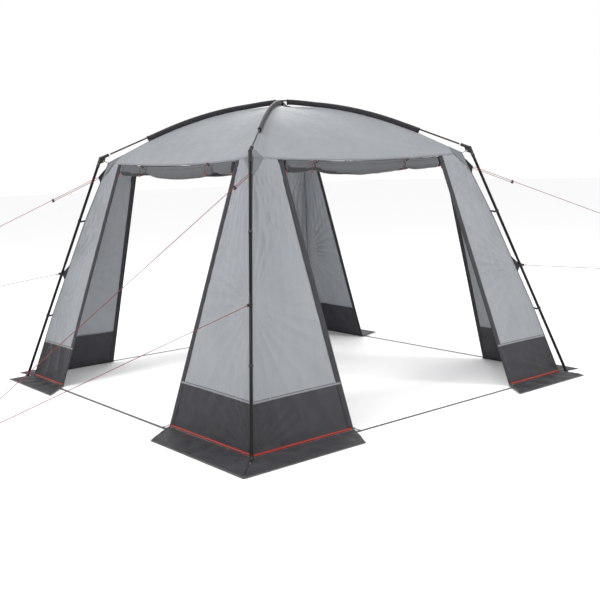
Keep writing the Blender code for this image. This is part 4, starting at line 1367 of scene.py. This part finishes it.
def smooth(points, steps):
    """Points along a smooth curve through a path's own points."""
    route = []
    last = len(points) - 1
    for i in range(last):
        before, start = points[max(i - 1, 0)], points[i]
        end, after = points[i + 1], points[min(i + 2, last)]
        span = (end - start).length
        out_way = (end - before).normalized() * span
        in_way = (after - start).normalized() * span
        for k in range(steps):
            t = k / steps
            route.append(
                start * (2 * t**3 - 3 * t**2 + 1)
                + out_way * (t**3 - 2 * t**2 + t)
                + end * (3 * t**2 - 2 * t**3)
                + in_way * (t**3 - t**2)
            )
    route.append(points[last])
    return route


def build_corner_patches(corner):
    """Kite-shaped doublers sewn on the walls and the roof at an eave corner."""
    for side in [s for s in SIDES if corner in SIDES[s]["ends"]]:
        out = wall_out(side, corner)
        along = -SIDES[side]["along"] * end_sign(side, corner)
        rows, uvs = [], []
        steps = 12
        for i in range(steps + 1):
            drop = 0.136 * i / steps
            share = 1 - (drop + 0.004) / (EAVE_Z - WALL_LIFT)
            reach = 0.098 * (1 - i / steps) + 0.001
            start = corner_edge(corner, share)
            rows.append([start + along * reach * j / 6 + out * 0.0016 for j in range(7)])
            uvs.append([(reach * j / 6, drop) for j in range(7)])
        sheet_piece(
            f"wall_patch_{corner}_{side}", rows, uvs, out, patch_cloth(), "hung",
            [f"wall_cloth_{corner}_{side}"],
        )
        rows, uvs = [], []
        for i in range(steps + 1):
            share = 1 - 0.105 / EAVE_REACH * i / steps
            start = ridge_point(corner, share)
            reach = 0.098 * (1 - i / steps) + 0.001
            half, _ = eave_sizes(side)
            row = []
            for j in range(7):
                part = reach * j / 6 / (2 * half * share)
                slack = (1 - (1 - 2 * part) ** 2) * share**2
                row.append(
                    start + along * reach * j / 6 - SIDES[side]["out"] * EAVE_BOW * slack
                    - UP * EAVE_SAG * slack + UP * 0.0018
                )
            rows.append(row)
            uvs.append([(reach * j / 6, i / steps * 0.105) for j in range(7)])
        sheet_piece(
            f"roof_patch_{corner}_{side}", rows, uvs, UP, patch_cloth(), "stretched", [f"roof_cloth_{side}"]
        )


def patch_cloth():
    return known("grey_doubler_polyester", coated_polyester, "696C70", 0.001)


def build_leg_clip(corner, height):
    """A moulded clip round the leg, linked by webbing to the wall's edge."""
    way = leg_way(corner)
    at = leg_point(corner, height)
    label = f"{corner}_{'high' if height > 1 else 'low'}"
    edge = corner_edge(corner, height / EAVE_Z)
    inward = edge - at
    inward = (inward - way * inward.dot(way)).normalized()
    side = way.cross(inward).normalized()
    ring = rim_ring(LEG_D / 2 + 0.0004, LEG_D / 2 + 0.0038, 0.016)
    ring = placed(ring, frame_matrix(at, inward, side, way))
    outline = round_outline([(0.009, -0.006), (0.026, -0.004), (0.026, 0.004), (0.009, 0.006)], 0.002)
    ear = rounded_plate("ear", outline, [(0.021, 0, 0.002)], 0.004, 0.0007)
    ear = placed(ear, frame_matrix(at, inward, way, -side))
    piece(f"leg_clip_{label}", joined(f"leg_clip_{label}", [ring, ear]), black_nylon())
    start = at + inward * 0.018
    link = [start, start.lerp(edge, 0.5), edge + inward * 0.004, edge + inward * 0.016]
    sweep(f"clip_link_{label}", link, 0.0014, black_tape(), width=0.014, sides=8, seam_up=side)


def build_upper_tab(corner):
    """The dark triangle of cloth that takes the upper guy rope, bound along its top edge."""
    tip = Vector(UPPER_GUYS[corner]["tab"])
    high = corner_edge(corner, 1.735 / EAVE_Z)
    low = corner_edge(corner, 1.625 / EAVE_Z)
    rows, uvs = [], []
    for i in range(9):
        t = i / 8
        rows.append([high.lerp(low, j / 6).lerp(tip, t * 0.93) for j in range(7)])
        uvs.append([(t * 0.07, j / 6 * 0.11 * (1 - t)) for j in range(7)])
    outward = (high - low).cross(tip - low).normalized()
    sheet_piece(
        f"guy_tab_{corner}", rows, uvs, outward, charcoal_cloth(), "stretched",
        [f"wall_cloth_{corner}_{first_side(corner)}"], thick=0.0014,
    )
    binding = [high.lerp(tip, k / 10 * 0.96) for k in range(11)]
    sweep(f"guy_tab_binding_{corner}", binding, 0.0016, black_tape(), width=0.012, sides=8, seam_up=outward)
    away = (tip - high.lerp(low, 0.5)).normalized()
    eye = [tip + away * 0.004 * math.cos(t) - away * 0.003 + (high - low).normalized() * 0.007 * math.sin(t)
           for t in (2 * math.pi * k / 24 for k in range(24))]
    sweep(f"guy_tab_eye_{corner}", eye, 0.0014, plated_wire(), sides=8, closed=True)


def first_side(corner):
    return next(s for s in SIDES if corner in SIDES[s]["ends"])


def build_lower_tab(corner):
    """A dark gusset from the wall to the leg, and the webbing round the leg for the lower guy."""
    tip = Vector(LOWER_GUYS[corner]["tab"])
    at = leg_point(corner, tip.z + 0.002)
    way = leg_way(corner)
    high, low = corner_edge(corner, (tip.z + 0.075) / EAVE_Z), corner_edge(corner, (tip.z - 0.055) / EAVE_Z)
    rows = [[high.lerp(low, j / 6).lerp(at, 0.9 * i / 8) for j in range(7)] for i in range(9)]
    uvs = [[(i / 8 * 0.04, j / 6 * 0.13 * (1 - i / 9)) for j in range(7)] for i in range(9)]
    outward = (high - low).cross(at - low).normalized()
    sheet_piece(
        f"leg_gusset_{corner}", rows, uvs, outward, charcoal_cloth(), "stretched", [f"leg_{corner}"],
        thick=0.0014,
    )
    toward = tip - at
    toward = (toward - way * toward.dot(way)).normalized()
    side = way.cross(toward).normalized()
    loop = []
    for k in range(25):
        turn = math.pi * 0.30 + (2 * math.pi - math.pi * 0.6) * k / 24
        loop.append(at + (toward * math.cos(turn) + side * math.sin(turn)) * (LEG_D / 2 + 0.0014))
    loop = [tip - side * 0.0016] + loop + [tip + side * 0.0016]
    sweep(f"lower_tab_{corner}", loop, 0.0011, black_tape(), width=0.020, sides=8,
          seam_up=lambda i: (loop[i] - at).normalized())


# ---------------------------------------------------------------- doors


def roll_fullness(along):
    """How full a rolled door is: fullest in its middle and cinched at each toggle."""
    near = min(abs(along - at) for at in TOGGLE_AT)
    belly = math.exp(-(((along + 0.05) / 0.30) ** 2))
    return 0.98 + 0.20 * belly - 0.28 * math.exp(-((near / 0.075) ** 2))


def roll_centre(side, along):
    return eave_point(side, along, ROLL_DROP + ROLL_H / 2 * roll_fullness(along))


def roll_shape(side, number):
    """A rolled door's section as a function of place, turn round it and depth into the roll."""
    lumps = seeded_waves(91 + number, 6, 0.26)
    fine = seeded_waves(96 + number, 6, 0.08)
    drift = seeded_waves(71 + number, 4, 0.45)
    out = SIDES[side]["out"]

    def point(along, turn, inner):
        probe = Vector((along, math.cos(turn) * 0.05, math.sin(turn) * 0.05))
        near = min(abs(along - at) for at in TOGGLE_AT)
        gather = math.exp(-((near / 0.16) ** 2))
        full = roll_fullness(along) * (1 + 0.05 * lumps(probe) + 0.015 * fine(probe))
        full += (0.030 + 0.035 * gather) * crease(7 * turn + 2.6 * drift(probe) + number)
        full += 0.022 * crease(13 * turn + 3.4 * drift(probe * 1.7) + 9 * along)
        lean = 1 - ROLL_LEAN * math.sin(turn)
        x = ROLL_T / 2 * lean * math.cos(turn) * inner * full
        z = ROLL_H / 2 * math.sin(turn) * inner * full
        return roll_centre(side, along) + out * x + UP * z

    return point


def build_rolled_doors():
    """Each door, rolled up on itself and tied under the eave, in the light cloth darkened as painted shade;
    dark cloth covers its outer turn from below the outward face round the bottom and the inside, higher up
    towards one end.
    """
    for number, side in enumerate(SIDES):
        body = f"door_roll_{side}"
        shape = roll_shape(side, number)
        stations, round_steps = 84, 26
        total = ROLL_TURNS * round_steps
        end = DOOR_HALF - ROLL_END_GAP
        points, uvs, faces, dark = [], [], [], []
        for i in range(stations + 1):
            along = -end + 2 * end * i / stations
            run = 0.0
            for k in range(total + 1):
                inner = 1 - 0.90 * k / total
                points.append(shape(along, math.pi / 2 - 2 * math.pi * k / round_steps, inner))
                run += 0.19 * inner / round_steps
                uvs.append((along, run))
        width = total + 1
        for i in range(stations):
            # dark cloth from below the outward face of the outer turn, round its bottom and inside; it starts
            # higher up towards the DARK_END end
            skew = DARK_END[side] * (2 * i / stations - 1)
            dark_from = 0.43 - 0.20 * max(0.0, skew)
            for k in range(total):
                a = i * width + k
                faces.append((a, a + 1, a + width + 1, a + width))
                dark.append(dark_from * round_steps < k < 1.02 * round_steps)
        mesh = mesh_from(f"rolled_door_{side}", points, faces, uvs)
        # the roll's light cloth is darkened as painted shade
        for material in (shaded_rolled_cloth(), charcoal_cloth()):
            mesh.materials.append(material)
        for polygon, is_dark in zip(mesh.polygons, dark):
            polygon.material_index = 1 if is_dark else 0
        made = piece(f"rolled_door_{side}", mesh, shaded_rolled_cloth(), body)
        solid = made.modifiers.new("cloth thickness", "SOLIDIFY")
        solid.thickness = 0.0008
        solid.offset = 0
        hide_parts(body)
        build_roll_header(side, end, shape, made)
        for corner, at in zip(SIDES[side]["ends"], TOGGLE_AT):
            build_roll_tie(side, corner, at, shape)


def build_roll_header(side, end, shape, roll):
    """The head of the door's cloth, which runs from the eave's seam on to the outside of the roll."""
    out = SIDES[side]["out"]
    rows, uvs = [], []
    deep, long = 8, 110
    for i in range(deep + 1):
        drop = i / deep
        row, uv_row = [], []
        for j in range(long + 1):
            along = end * (2 * j / long - 1)
            top = eave_point(side, along, 0.010) - out * 0.003
            low = shape(along, 0.20 * math.pi, 1.02) + out * 0.0016
            row.append(top.lerp(low, drop) + out * 0.003 * math.sin(math.pi * drop))
            uv_row.append((along, drop * (top - low).length))
        rows.append(row)
        uvs.append(uv_row)
    small = seeded_waves(len(side), 6, 0.10)

    def relief(v, u, point):
        return 0.0030 * small(point) * math.sin(math.pi * v) ** 0.5

    body = f"door_roll_{side}"
    # the door's head is in the same light cloth, darkened as painted shade
    sheet_piece(
        f"door_head_{side}", rows, uvs, out, shaded_rolled_cloth(), "hung", [roll.name], relief=relief, body=body
    )


def build_roll_tie(side, corner, at, shape):
    """The elastic that cinches a rolled door, and the red cord of its toggle."""
    out = SIDES[side]["out"]
    along_way = SIDES[side]["along"] * DARK_END[side]
    label, body = f"{side}_{corner}", f"door_roll_{side}"
    centre = roll_centre(side, at)
    loop = [shape(at, 2 * math.pi * k / 40, 1.03) for k in range(40)]
    sweep(f"roll_elastic_{label}", loop, 0.0012, black_tape(), body, sides=8, closed=True,
          width=0.010, seam_up=lambda i: (loop[i] - centre).normalized())
    toggle_at, _ = toggle_frame(side, at)
    start = toggle_at - out * (TOGGLE_D / 2 + 0.001)
    cord = [
        start - along_way * 0.003,
        start + along_way * 0.012 + UP * 0.012 + out * 0.004,
        start + along_way * 0.034 + UP * 0.004 + out * 0.006,
        start + along_way * 0.046 - UP * 0.026 + out * 0.008,
        start + along_way * 0.052 - UP * 0.058 + out * 0.010,
    ]
    sweep(f"roll_tie_{label}", smooth(cord, 6), ROPE_D / 2, red_cord(), body, sides=8, seam_up=out)
    profile = [(0.0012, 0), (0.0040, 0.002), (0.0046, 0.009), (0.0034, 0.017), (0.0012, 0.019)]
    bead = turned("bead", profile, 14)
    bead.transform(frame_matrix(cord[-1], out, SIDES[side]["along"], -UP))
    piece(f"roll_tie_end_{label}", bead, red_nylon(), body)


def toggle_frame(side, along):
    """A toggle's centre and its own three ways: along its barrel, across it and out."""
    out, level = SIDES[side]["out"], SIDES[side]["along"]
    face = ROLL_T / 2 * (1 + ROLL_LEAN) + TOGGLE_D / 2 + TOGGLE_GAP
    centre = eave_point(side, along, TOGGLE_Z_DROP) + out * face
    lean = math.radians(TOGGLE_LEAN)
    axis = level * math.cos(lean) + UP * math.sin(lean)
    return centre, (out, axis.cross(out), axis)


def build_toggles():
    """Eight barrel toggles with a waist and grip rings."""
    half, radius = TOGGLE_L / 2, TOGGLE_D / 2
    profile = [(0.0012, -half), (radius * 0.62, -half), (radius * 0.86, -half * 0.93), (radius, -half * 0.8)]
    for ring in (-0.68, -0.5, -0.34):
        profile += [(radius, half * (ring - 0.05)), (radius * 0.88, half * ring)]
        profile += [(radius, half * (ring + 0.05))]
    profile += [(radius * 0.76, -half * 0.16), (radius * 0.70, -half * 0.08)]
    profile += [(r, -h) for r, h in reversed(profile)]
    barrel = turned("barrel", profile, 24)
    for side in SIDES:
        for corner, along in zip(SIDES[side]["ends"], TOGGLE_AT):
            centre, ways = toggle_frame(side, along)
            node = f"toggle_{side}_{corner}"
            made = piece(f"barrel_{node}", placed(barrel, frame_matrix(centre, *ways)), black_nylon(), node)
            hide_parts(node)


def build_zip_sliders():
    """Eight zip sliders, each a cast body with a bridge and a red cord pull."""
    wide, tall, thick = ZIP_BODY
    wide_end, narrow_end = wide / 2, wide / 2 * 0.7
    outline = [(-wide_end, 0.0), (wide_end, 0.0), (narrow_end, tall), (-narrow_end, tall)]
    body = rounded_plate("body", round_outline(outline, 0.002), [], thick, 0.0009)
    bridge_shape = ((0.15, -0.0005), (0.25, 0.0022), (0.6, 0.0022), (0.72, -0.0005))
    profile = [(0.0010, 0), (0.0026, 0.0008), (0.0032, 0.004), (0.0030, 0.012), (0.0022, 0.0165)]
    grip_shape = profile + [(0.0008, 0.0175)]
    for side, corner in WINGS:
        sign = end_sign(side, corner)
        low, high = door_ends(side, corner)
        down = (low - high).normalized()
        inward = SIDES[side]["along"] * -sign
        across = (inward - down * inward.dot(down)).normalized()
        through = across.cross(down)
        start = high + down * ZIP_DROP + across * (wide / 2 + ZIP_GAP)
        matrix = frame_matrix(start, across, down, through)
        node = f"zip_slider_{side}_{corner}"
        made = piece(f"cast_{node}", placed(body, matrix), drawn_zinc(), node)
        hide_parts(node)
        face = 1 if through.dot(SIDES[side]["out"]) > 0 else -1
        lift = through * face * (thick / 2)
        bridge = [start + down * y * tall + lift + through * face * z for y, z in bridge_shape]
        bridge = smooth(bridge, 4)
        name = f"zip_bridge_{side}_{corner}"
        sweep(name, bridge, 0.0009, drawn_zinc(), node, sides=8, seam_up=across)
        top = start + down * tall * 0.55 + lift + through * face * 0.0008
        end = start + down * (tall + ZIP_PULL_L * 0.5)
        pull = []
        for k in range(15):
            t = k / 14
            swing = math.sin(math.pi * t)
            pull.append(top.lerp(end, 1 - abs(2 * t - 1)) + across * 0.0016 * (1 if t > 0.5 else -1) * swing)
        sweep(f"zip_cord_{side}_{corner}", pull, 0.0009, red_cord(), node, sides=8, seam_up=through)
        grip = turned("grip", grip_shape, 16)
        grip_matrix = frame_matrix(end - down * 0.001, across, -through, down)
        piece(f"zip_grip_{side}_{corner}", placed(grip, grip_matrix), red_nylon(), node)


def drawn_zinc():
    return known("black_cast_zinc", powder_coated_steel, "2A2A2C")


# ---------------------------------------------------------------- ropes


def rope_axes(guy):
    """Where a rope starts, the way it runs, its square upward way and its length."""
    start, end = Vector(guy["tab"]), Vector(guy["to"])
    way = (end - start).normalized()
    side_way = way.cross(UP).normalized()
    return start, way, side_way.cross(way), (end - start).length


def upper_guy_route(guy):
    """From the tensioner back to the tab, round its loop and out again to the far end."""
    start, way, up, length = rope_axes(guy)
    gap = STRAND_GAP / 2
    tied = guy["slider"] + TENSIONER[0] / 2
    local = [
        (tied, -gap),
        (tied * 0.6, -gap),
        (0.04, -gap),
        (0.012, -gap),
        (0.0025, -gap * 0.6),
        (0, 0),
        (0.0025, gap * 0.6),
        (0.012, gap),
        (0.04, gap),
        (tied, gap),
        (length * 0.7, gap),
        (length, gap),
    ]
    return [start + way * a + up * b for a, b in local]


def lower_guy_route(guy):
    start, way, _, length = rope_axes(guy)
    return [start + way * length * share for share in (0, 0.2, 0.5, 0.8, 1)]


def rope_curve(name, route, diameter):
    curve = bpy.data.curves.new(name, "CURVE")
    curve.dimensions = "3D"
    curve.bevel_depth = diameter / 2
    curve.bevel_resolution = 3
    curve.use_fill_caps = True
    spline = curve.splines.new("POLY")
    spline.points.add(len(route) - 1)
    for knot, point in zip(spline.points, route):
        knot.co = (*point, 1)
    return curve


def knot_piece(name, at, way, size):
    """An overhand knot: a lumpy turn of cord round itself with two strands showing."""
    side = way.orthogonal().normalized()
    lift = way.cross(side)
    path = []
    for k in range(60):
        t = 2 * math.pi * k / 60
        far = size * (1 + 0.45 * math.cos(3 * t))
        around = side * far * math.cos(2 * t) + lift * far * math.sin(2 * t)
        path.append(at + around + way * size * 0.9 * math.sin(3 * t))
    return sweep(name, path, ROPE_D / 2 * 1.05, red_cord(), sides=8, closed=True, seam_up=way)


def loop_end(name, at, way, up):
    """The eye at a rope's far end, which slips over a peg."""
    path = []
    for k in range(40):
        t = 2 * math.pi * k / 40
        path.append(at + way * (0.020 - 0.020 * math.cos(t)) + up * 0.011 * math.sin(t))
    return sweep(name, path, ROPE_D / 2, red_cord(), sides=8, closed=True, seam_up=way.cross(up))


def build_upper_guys():
    """Three upper guy ropes, each doubled through its tab and a ladder tensioner."""
    diameter = bpy.context.scene.shelter_ropes.diameter
    for corner, guy in UPPER_GUYS.items():
        _, way, up, _ = rope_axes(guy)
        route = smooth(upper_guy_route(guy), 3)
        rope = piece(f"upper_guy_{corner}", rope_curve(f"upper_guy_{corner}", route, diameter), red_cord())
        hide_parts(f"guy_upper_{corner}")
        build_tensioner(corner, guy)
        tied = route[0]
        knot = knot_piece(f"tensioner_knot_{corner}", tied + way * 0.004, way, 0.0026)
        far = knot_piece(f"far_knot_{corner}", route[-1] - way * 0.012, way, 0.0028)
        eye = loop_end(f"far_loop_{corner}", route[-1] - way * 0.006, way, up)


def build_tensioner(corner, guy):
    """A moulded ladder tensioner with rounded ends and a hole for each strand."""
    start, way, up, _ = rope_axes(guy)
    across = way.cross(up)
    centre = start + way * guy["slider"]
    long, tall, thick = TENSIONER
    corners = [(-tall / 2, -thick / 2), (tall / 2, -thick / 2), (tall / 2, thick / 2), (-tall / 2, thick / 2)]
    holes = [(-STRAND_GAP / 2, 0, 0.0021), (STRAND_GAP / 2, 0, 0.0021)]
    body = rounded_plate("tensioner", round_outline(corners, 0.003), holes, long, 0.001)
    made = piece(
        f"ladder_tensioner_{corner}", placed(body, frame_matrix(centre, up, across, up.cross(across))),
        black_nylon(), f"tensioner_{corner}",
    )
    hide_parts(f"tensioner_{corner}")


def build_lower_guys():
    """Three lower guy ropes from the webbing round the legs."""
    diameter = bpy.context.scene.shelter_ropes.diameter
    for corner, guy in LOWER_GUYS.items():
        start, way, up, _ = rope_axes(guy)
        route = smooth(lower_guy_route(guy), 6)
        rope = piece(f"lower_guy_{corner}", rope_curve(f"lower_guy_{corner}", route, diameter), red_cord())
        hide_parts(f"guy_lower_{corner}")
        near = knot_piece(f"lower_near_knot_{corner}", start + way * 0.014, way, 0.0026)
        far = knot_piece(f"lower_far_knot_{corner}", route[-1] - way * 0.012, way, 0.0028)
        eye = loop_end(f"lower_far_loop_{corner}", route[-1] - way * 0.006, way, up)


# ---------------------------------------------------------------- stage


def build_stage():
    """A white paper floor, soft studio lights and the camera."""
    looks = bpy.context.scene.shelter_stage
    size, below = 60.0, -0.0005
    corners = [(-size, -size, below), (size, -size, below), (size, size, below), (-size, size, below)]
    mesh = mesh_from("floor", corners, [(0, 1, 2, 3)], smooth=False)
    floor = bpy.data.objects.new("floor", mesh)
    bpy.context.scene.collection.objects.link(floor)
    mesh.materials.append(studio_paper("white_background_paper", looks.floor_colour))
    world = bpy.data.worlds.new("studio")
    bpy.context.scene.world = world
    world.use_nodes = True
    background = world.node_tree.nodes["Background"]
    background.inputs["Color"].default_value = (1.0, 1.0, 1.0, 1.0)
    background.inputs["Strength"].default_value = looks.sky_light
    for name, at, aim, width, power in (
        ("key_light", (-7.5, -0.5, 7.0), (0, 0, 1.0), 2.2, looks.key_light),
        ("side_light", (5.0, -8.0, 5.0), (0, 0, 1.0), 2.2, looks.key_light * 0.75),
        ("fill_light", (-3.0, -6.5, 2.2), (0.8, 0.8, 1.0), 3.0, looks.key_light * 0.16),
        ("back_light", (5.5, 6.5, 6.5), (0, 0, 1.2), 3.0, looks.key_light * 0.5),
    ):
        lamp = bpy.data.lights.new(name, "AREA")
        lamp.energy = power
        lamp.size = width
        light = bpy.data.objects.new(name, lamp)
        light.location = at
        light.rotation_euler = (Vector(aim) - Vector(at)).to_track_quat("-Z", "Y").to_euler()
        bpy.context.scene.collection.objects.link(light)
    build_camera()
    bpy.context.scene.view_settings.view_transform = "Standard"


def build_camera():
    turn, down, roll = (math.radians(a) for a in (CAMERA_TURN, CAMERA_DOWN, CAMERA_ROLL))
    ahead = Vector((math.sin(turn) * math.cos(down), math.cos(turn) * math.cos(down), -math.sin(down)))
    right = Vector((math.cos(turn), -math.sin(turn), 0))
    above = right.cross(ahead)
    right_rolled = right * math.cos(roll) + above * math.sin(roll)
    above_rolled = above * math.cos(roll) - right * math.sin(roll)
    lens = bpy.data.cameras.new("camera")
    lens.lens = CAMERA_LENS
    lens.sensor_width = 36
    lens.shift_x, lens.shift_y = CAMERA_SHIFT
    lens.clip_end = 200
    camera = bpy.data.objects.new("camera", lens)
    camera.matrix_world = frame_matrix(Vector(CAMERA_AT), right_rolled, above_rolled, -ahead)
    bpy.context.scene.collection.objects.link(camera)
    bpy.context.scene.camera = camera


# ---------------------------------------------------------------- add-on


class ShelterClothLooks(bpy.types.PropertyGroup):
    """Colours and creases of the cloth and tapes."""

    light_colour: bpy.props.StringProperty(
        name="Light cloth",
        description="sRGB hex colour of roof and walls",
        default="7F8286",
    )
    dark_colour: bpy.props.StringProperty(
        name="Dark cloth",
        description="sRGB hex colour of bases, bands and skirts",
        default="2A2A2E",
    )
    tape_colour: bpy.props.StringProperty(
        name="Tape",
        description="sRGB hex colour of the tape round the foot",
        default="9C2A1A",
    )
    crease: bpy.props.FloatProperty(
        name="Creases",
        description="How deep the small creases are",
        default=1.0, min=0.0, max=3.0, subtype="FACTOR",
    )


class ShelterFrameLooks(bpy.types.PropertyGroup):
    """Finish of the frame."""

    leg_colour: bpy.props.StringProperty(
        name="Legs",
        description="sRGB hex colour of the steel legs",
        default="09090A",
    )


class ShelterRopeLooks(bpy.types.PropertyGroup):
    """Size and colour of the guy ropes."""

    colour: bpy.props.StringProperty(
        name="Rope",
        description="sRGB hex colour of the guy ropes",
        default="6E120A",
    )
    diameter: bpy.props.FloatProperty(
        name="Diameter",
        description="Thickness of a guy rope",
        default=ROPE_D, min=0.001, max=0.01, unit="LENGTH",
    )


class ShelterStageLooks(bpy.types.PropertyGroup):
    """Floor and lights."""

    floor_colour: bpy.props.StringProperty(
        name="Floor",
        description="sRGB hex colour of the paper floor",
        default="FAFAFA",
    )
    sky_light: bpy.props.FloatProperty(
        name="Sky light",
        description="Strength of the even light all round",
        default=1.0, min=0.0, max=5.0,
    )
    key_light: bpy.props.FloatProperty(
        name="Key light",
        description="Power of the main light",
        default=480.0, min=0.0, max=5000.0, unit="POWER",
    )


class SHELTER_OT_stage(bpy.types.Operator):
    """Build the floor, the lights and the camera"""

    bl_idname = "shelter.stage"
    bl_label = "Stage"

    def execute(self, context):
        build_stage()
        return {"FINISHED"}


class SHELTER_OT_upper_guys(bpy.types.Operator):
    """Build the upper guy ropes with their tensioners"""

    bl_idname = "shelter.upper_guys"
    bl_label = "Upper guy ropes"

    def execute(self, context):
        build_upper_guys()
        return {"FINISHED"}


class SHELTER_OT_lower_guys(bpy.types.Operator):
    """Build the lower guy ropes"""

    bl_idname = "shelter.lower_guys"
    bl_label = "Lower guy ropes"

    def execute(self, context):
        build_lower_guys()
        return {"FINISHED"}


class SHELTER_OT_roof_poles(bpy.types.Operator):
    """Build the two crossed roof poles"""

    bl_idname = "shelter.roof_poles"
    bl_label = "Roof poles"

    def execute(self, context):
        build_roof_poles()
        return {"FINISHED"}


class SHELTER_OT_legs(bpy.types.Operator):
    """Build the four legs"""

    bl_idname = "shelter.legs"
    bl_label = "Legs"

    def execute(self, context):
        build_legs()
        return {"FINISHED"}


class SHELTER_OT_elbows(bpy.types.Operator):
    """Build the four elbows"""

    bl_idname = "shelter.elbows"
    bl_label = "Elbows"

    def execute(self, context):
        build_elbows()
        return {"FINISHED"}


class SHELTER_OT_sleeves(bpy.types.Operator):
    """Build the pole sleeves"""

    bl_idname = "shelter.sleeves"
    bl_label = "Pole sleeves"

    def execute(self, context):
        build_sleeves()
        return {"FINISHED"}


class SHELTER_OT_roof(bpy.types.Operator):
    """Build the roof cloth"""

    bl_idname = "shelter.roof"
    bl_label = "Roof"

    def execute(self, context):
        build_roof()
        return {"FINISHED"}


class SHELTER_OT_walls(bpy.types.Operator):
    """Build the corner walls"""

    bl_idname = "shelter.walls"
    bl_label = "Walls"

    def execute(self, context):
        build_walls()
        return {"FINISHED"}


class SHELTER_OT_skirts(bpy.types.Operator):
    """Build the mud skirts"""

    bl_idname = "shelter.skirts"
    bl_label = "Skirts"

    def execute(self, context):
        build_skirts()
        return {"FINISHED"}


class SHELTER_OT_ground_strap(bpy.types.Operator):
    """Build the webbing on the ground and its rings"""

    bl_idname = "shelter.ground_strap"
    bl_label = "Ground strap"

    def execute(self, context):
        build_ground_strap()
        return {"FINISHED"}


class SHELTER_OT_corner_fittings(bpy.types.Operator):
    """Build the hooks, patches, clips and guy tabs"""

    bl_idname = "shelter.corner_fittings"
    bl_label = "Corner fittings"

    def execute(self, context):
        build_corner_fittings()
        return {"FINISHED"}


class SHELTER_OT_rolled_doors(bpy.types.Operator):
    """Build the rolled doors and their ties"""

    bl_idname = "shelter.rolled_doors"
    bl_label = "Rolled doors"

    def execute(self, context):
        build_rolled_doors()
        return {"FINISHED"}


class SHELTER_OT_toggles(bpy.types.Operator):
    """Build the toggles of the rolled doors"""

    bl_idname = "shelter.toggles"
    bl_label = "Toggles"

    def execute(self, context):
        build_toggles()
        return {"FINISHED"}


class SHELTER_OT_zip_sliders(bpy.types.Operator):
    """Build the zip sliders and their pulls"""

    bl_idname = "shelter.zip_sliders"
    bl_label = "Zip sliders"

    def execute(self, context):
        build_zip_sliders()
        return {"FINISHED"}


BUILDERS = (
    SHELTER_OT_stage,
    SHELTER_OT_upper_guys,
    SHELTER_OT_lower_guys,
    SHELTER_OT_roof_poles,
    SHELTER_OT_legs,
    SHELTER_OT_elbows,
    SHELTER_OT_sleeves,
    SHELTER_OT_roof,
    SHELTER_OT_walls,
    SHELTER_OT_skirts,
    SHELTER_OT_ground_strap,
    SHELTER_OT_corner_fittings,
    SHELTER_OT_rolled_doors,
    SHELTER_OT_toggles,
    SHELTER_OT_zip_sliders,
)
LOOKS = {
    "shelter_cloth": ShelterClothLooks,
    "shelter_frame": ShelterFrameLooks,
    "shelter_ropes": ShelterRopeLooks,
    "shelter_stage": ShelterStageLooks,
}


class SHELTER_PT_panel(bpy.types.Panel):
    """The shelter's looks and the buttons that build its pieces"""

    bl_idname = "SHELTER_PT_panel"
    bl_label = "Shelter"
    bl_space_type = "VIEW_3D"
    bl_region_type = "UI"
    bl_category = "Shelter"

    def draw(self, context):
        for name, looks in LOOKS.items():
            box = self.layout.box()
            for key in looks.__annotations__:
                box.prop(getattr(context.scene, name), key)
        for builder in BUILDERS:
            self.layout.operator(builder.bl_idname)


def register():
    for kind in (*LOOKS.values(), *BUILDERS, SHELTER_PT_panel):
        bpy.utils.register_class(kind)
    for name, looks in LOOKS.items():
        setattr(bpy.types.Scene, name, bpy.props.PointerProperty(type=looks))


def unregister():
    for name in LOOKS:
        delattr(bpy.types.Scene, name)
    for kind in reversed((*LOOKS.values(), *BUILDERS, SHELTER_PT_panel)):
        bpy.utils.unregister_class(kind)


def main():
    register()
    for builder in BUILDERS:
        group, name = builder.bl_idname.split(".")
        getattr(getattr(bpy.ops, group), name)()
    bpy.context.view_layer.update()


if __name__ == "__main__":
    main()
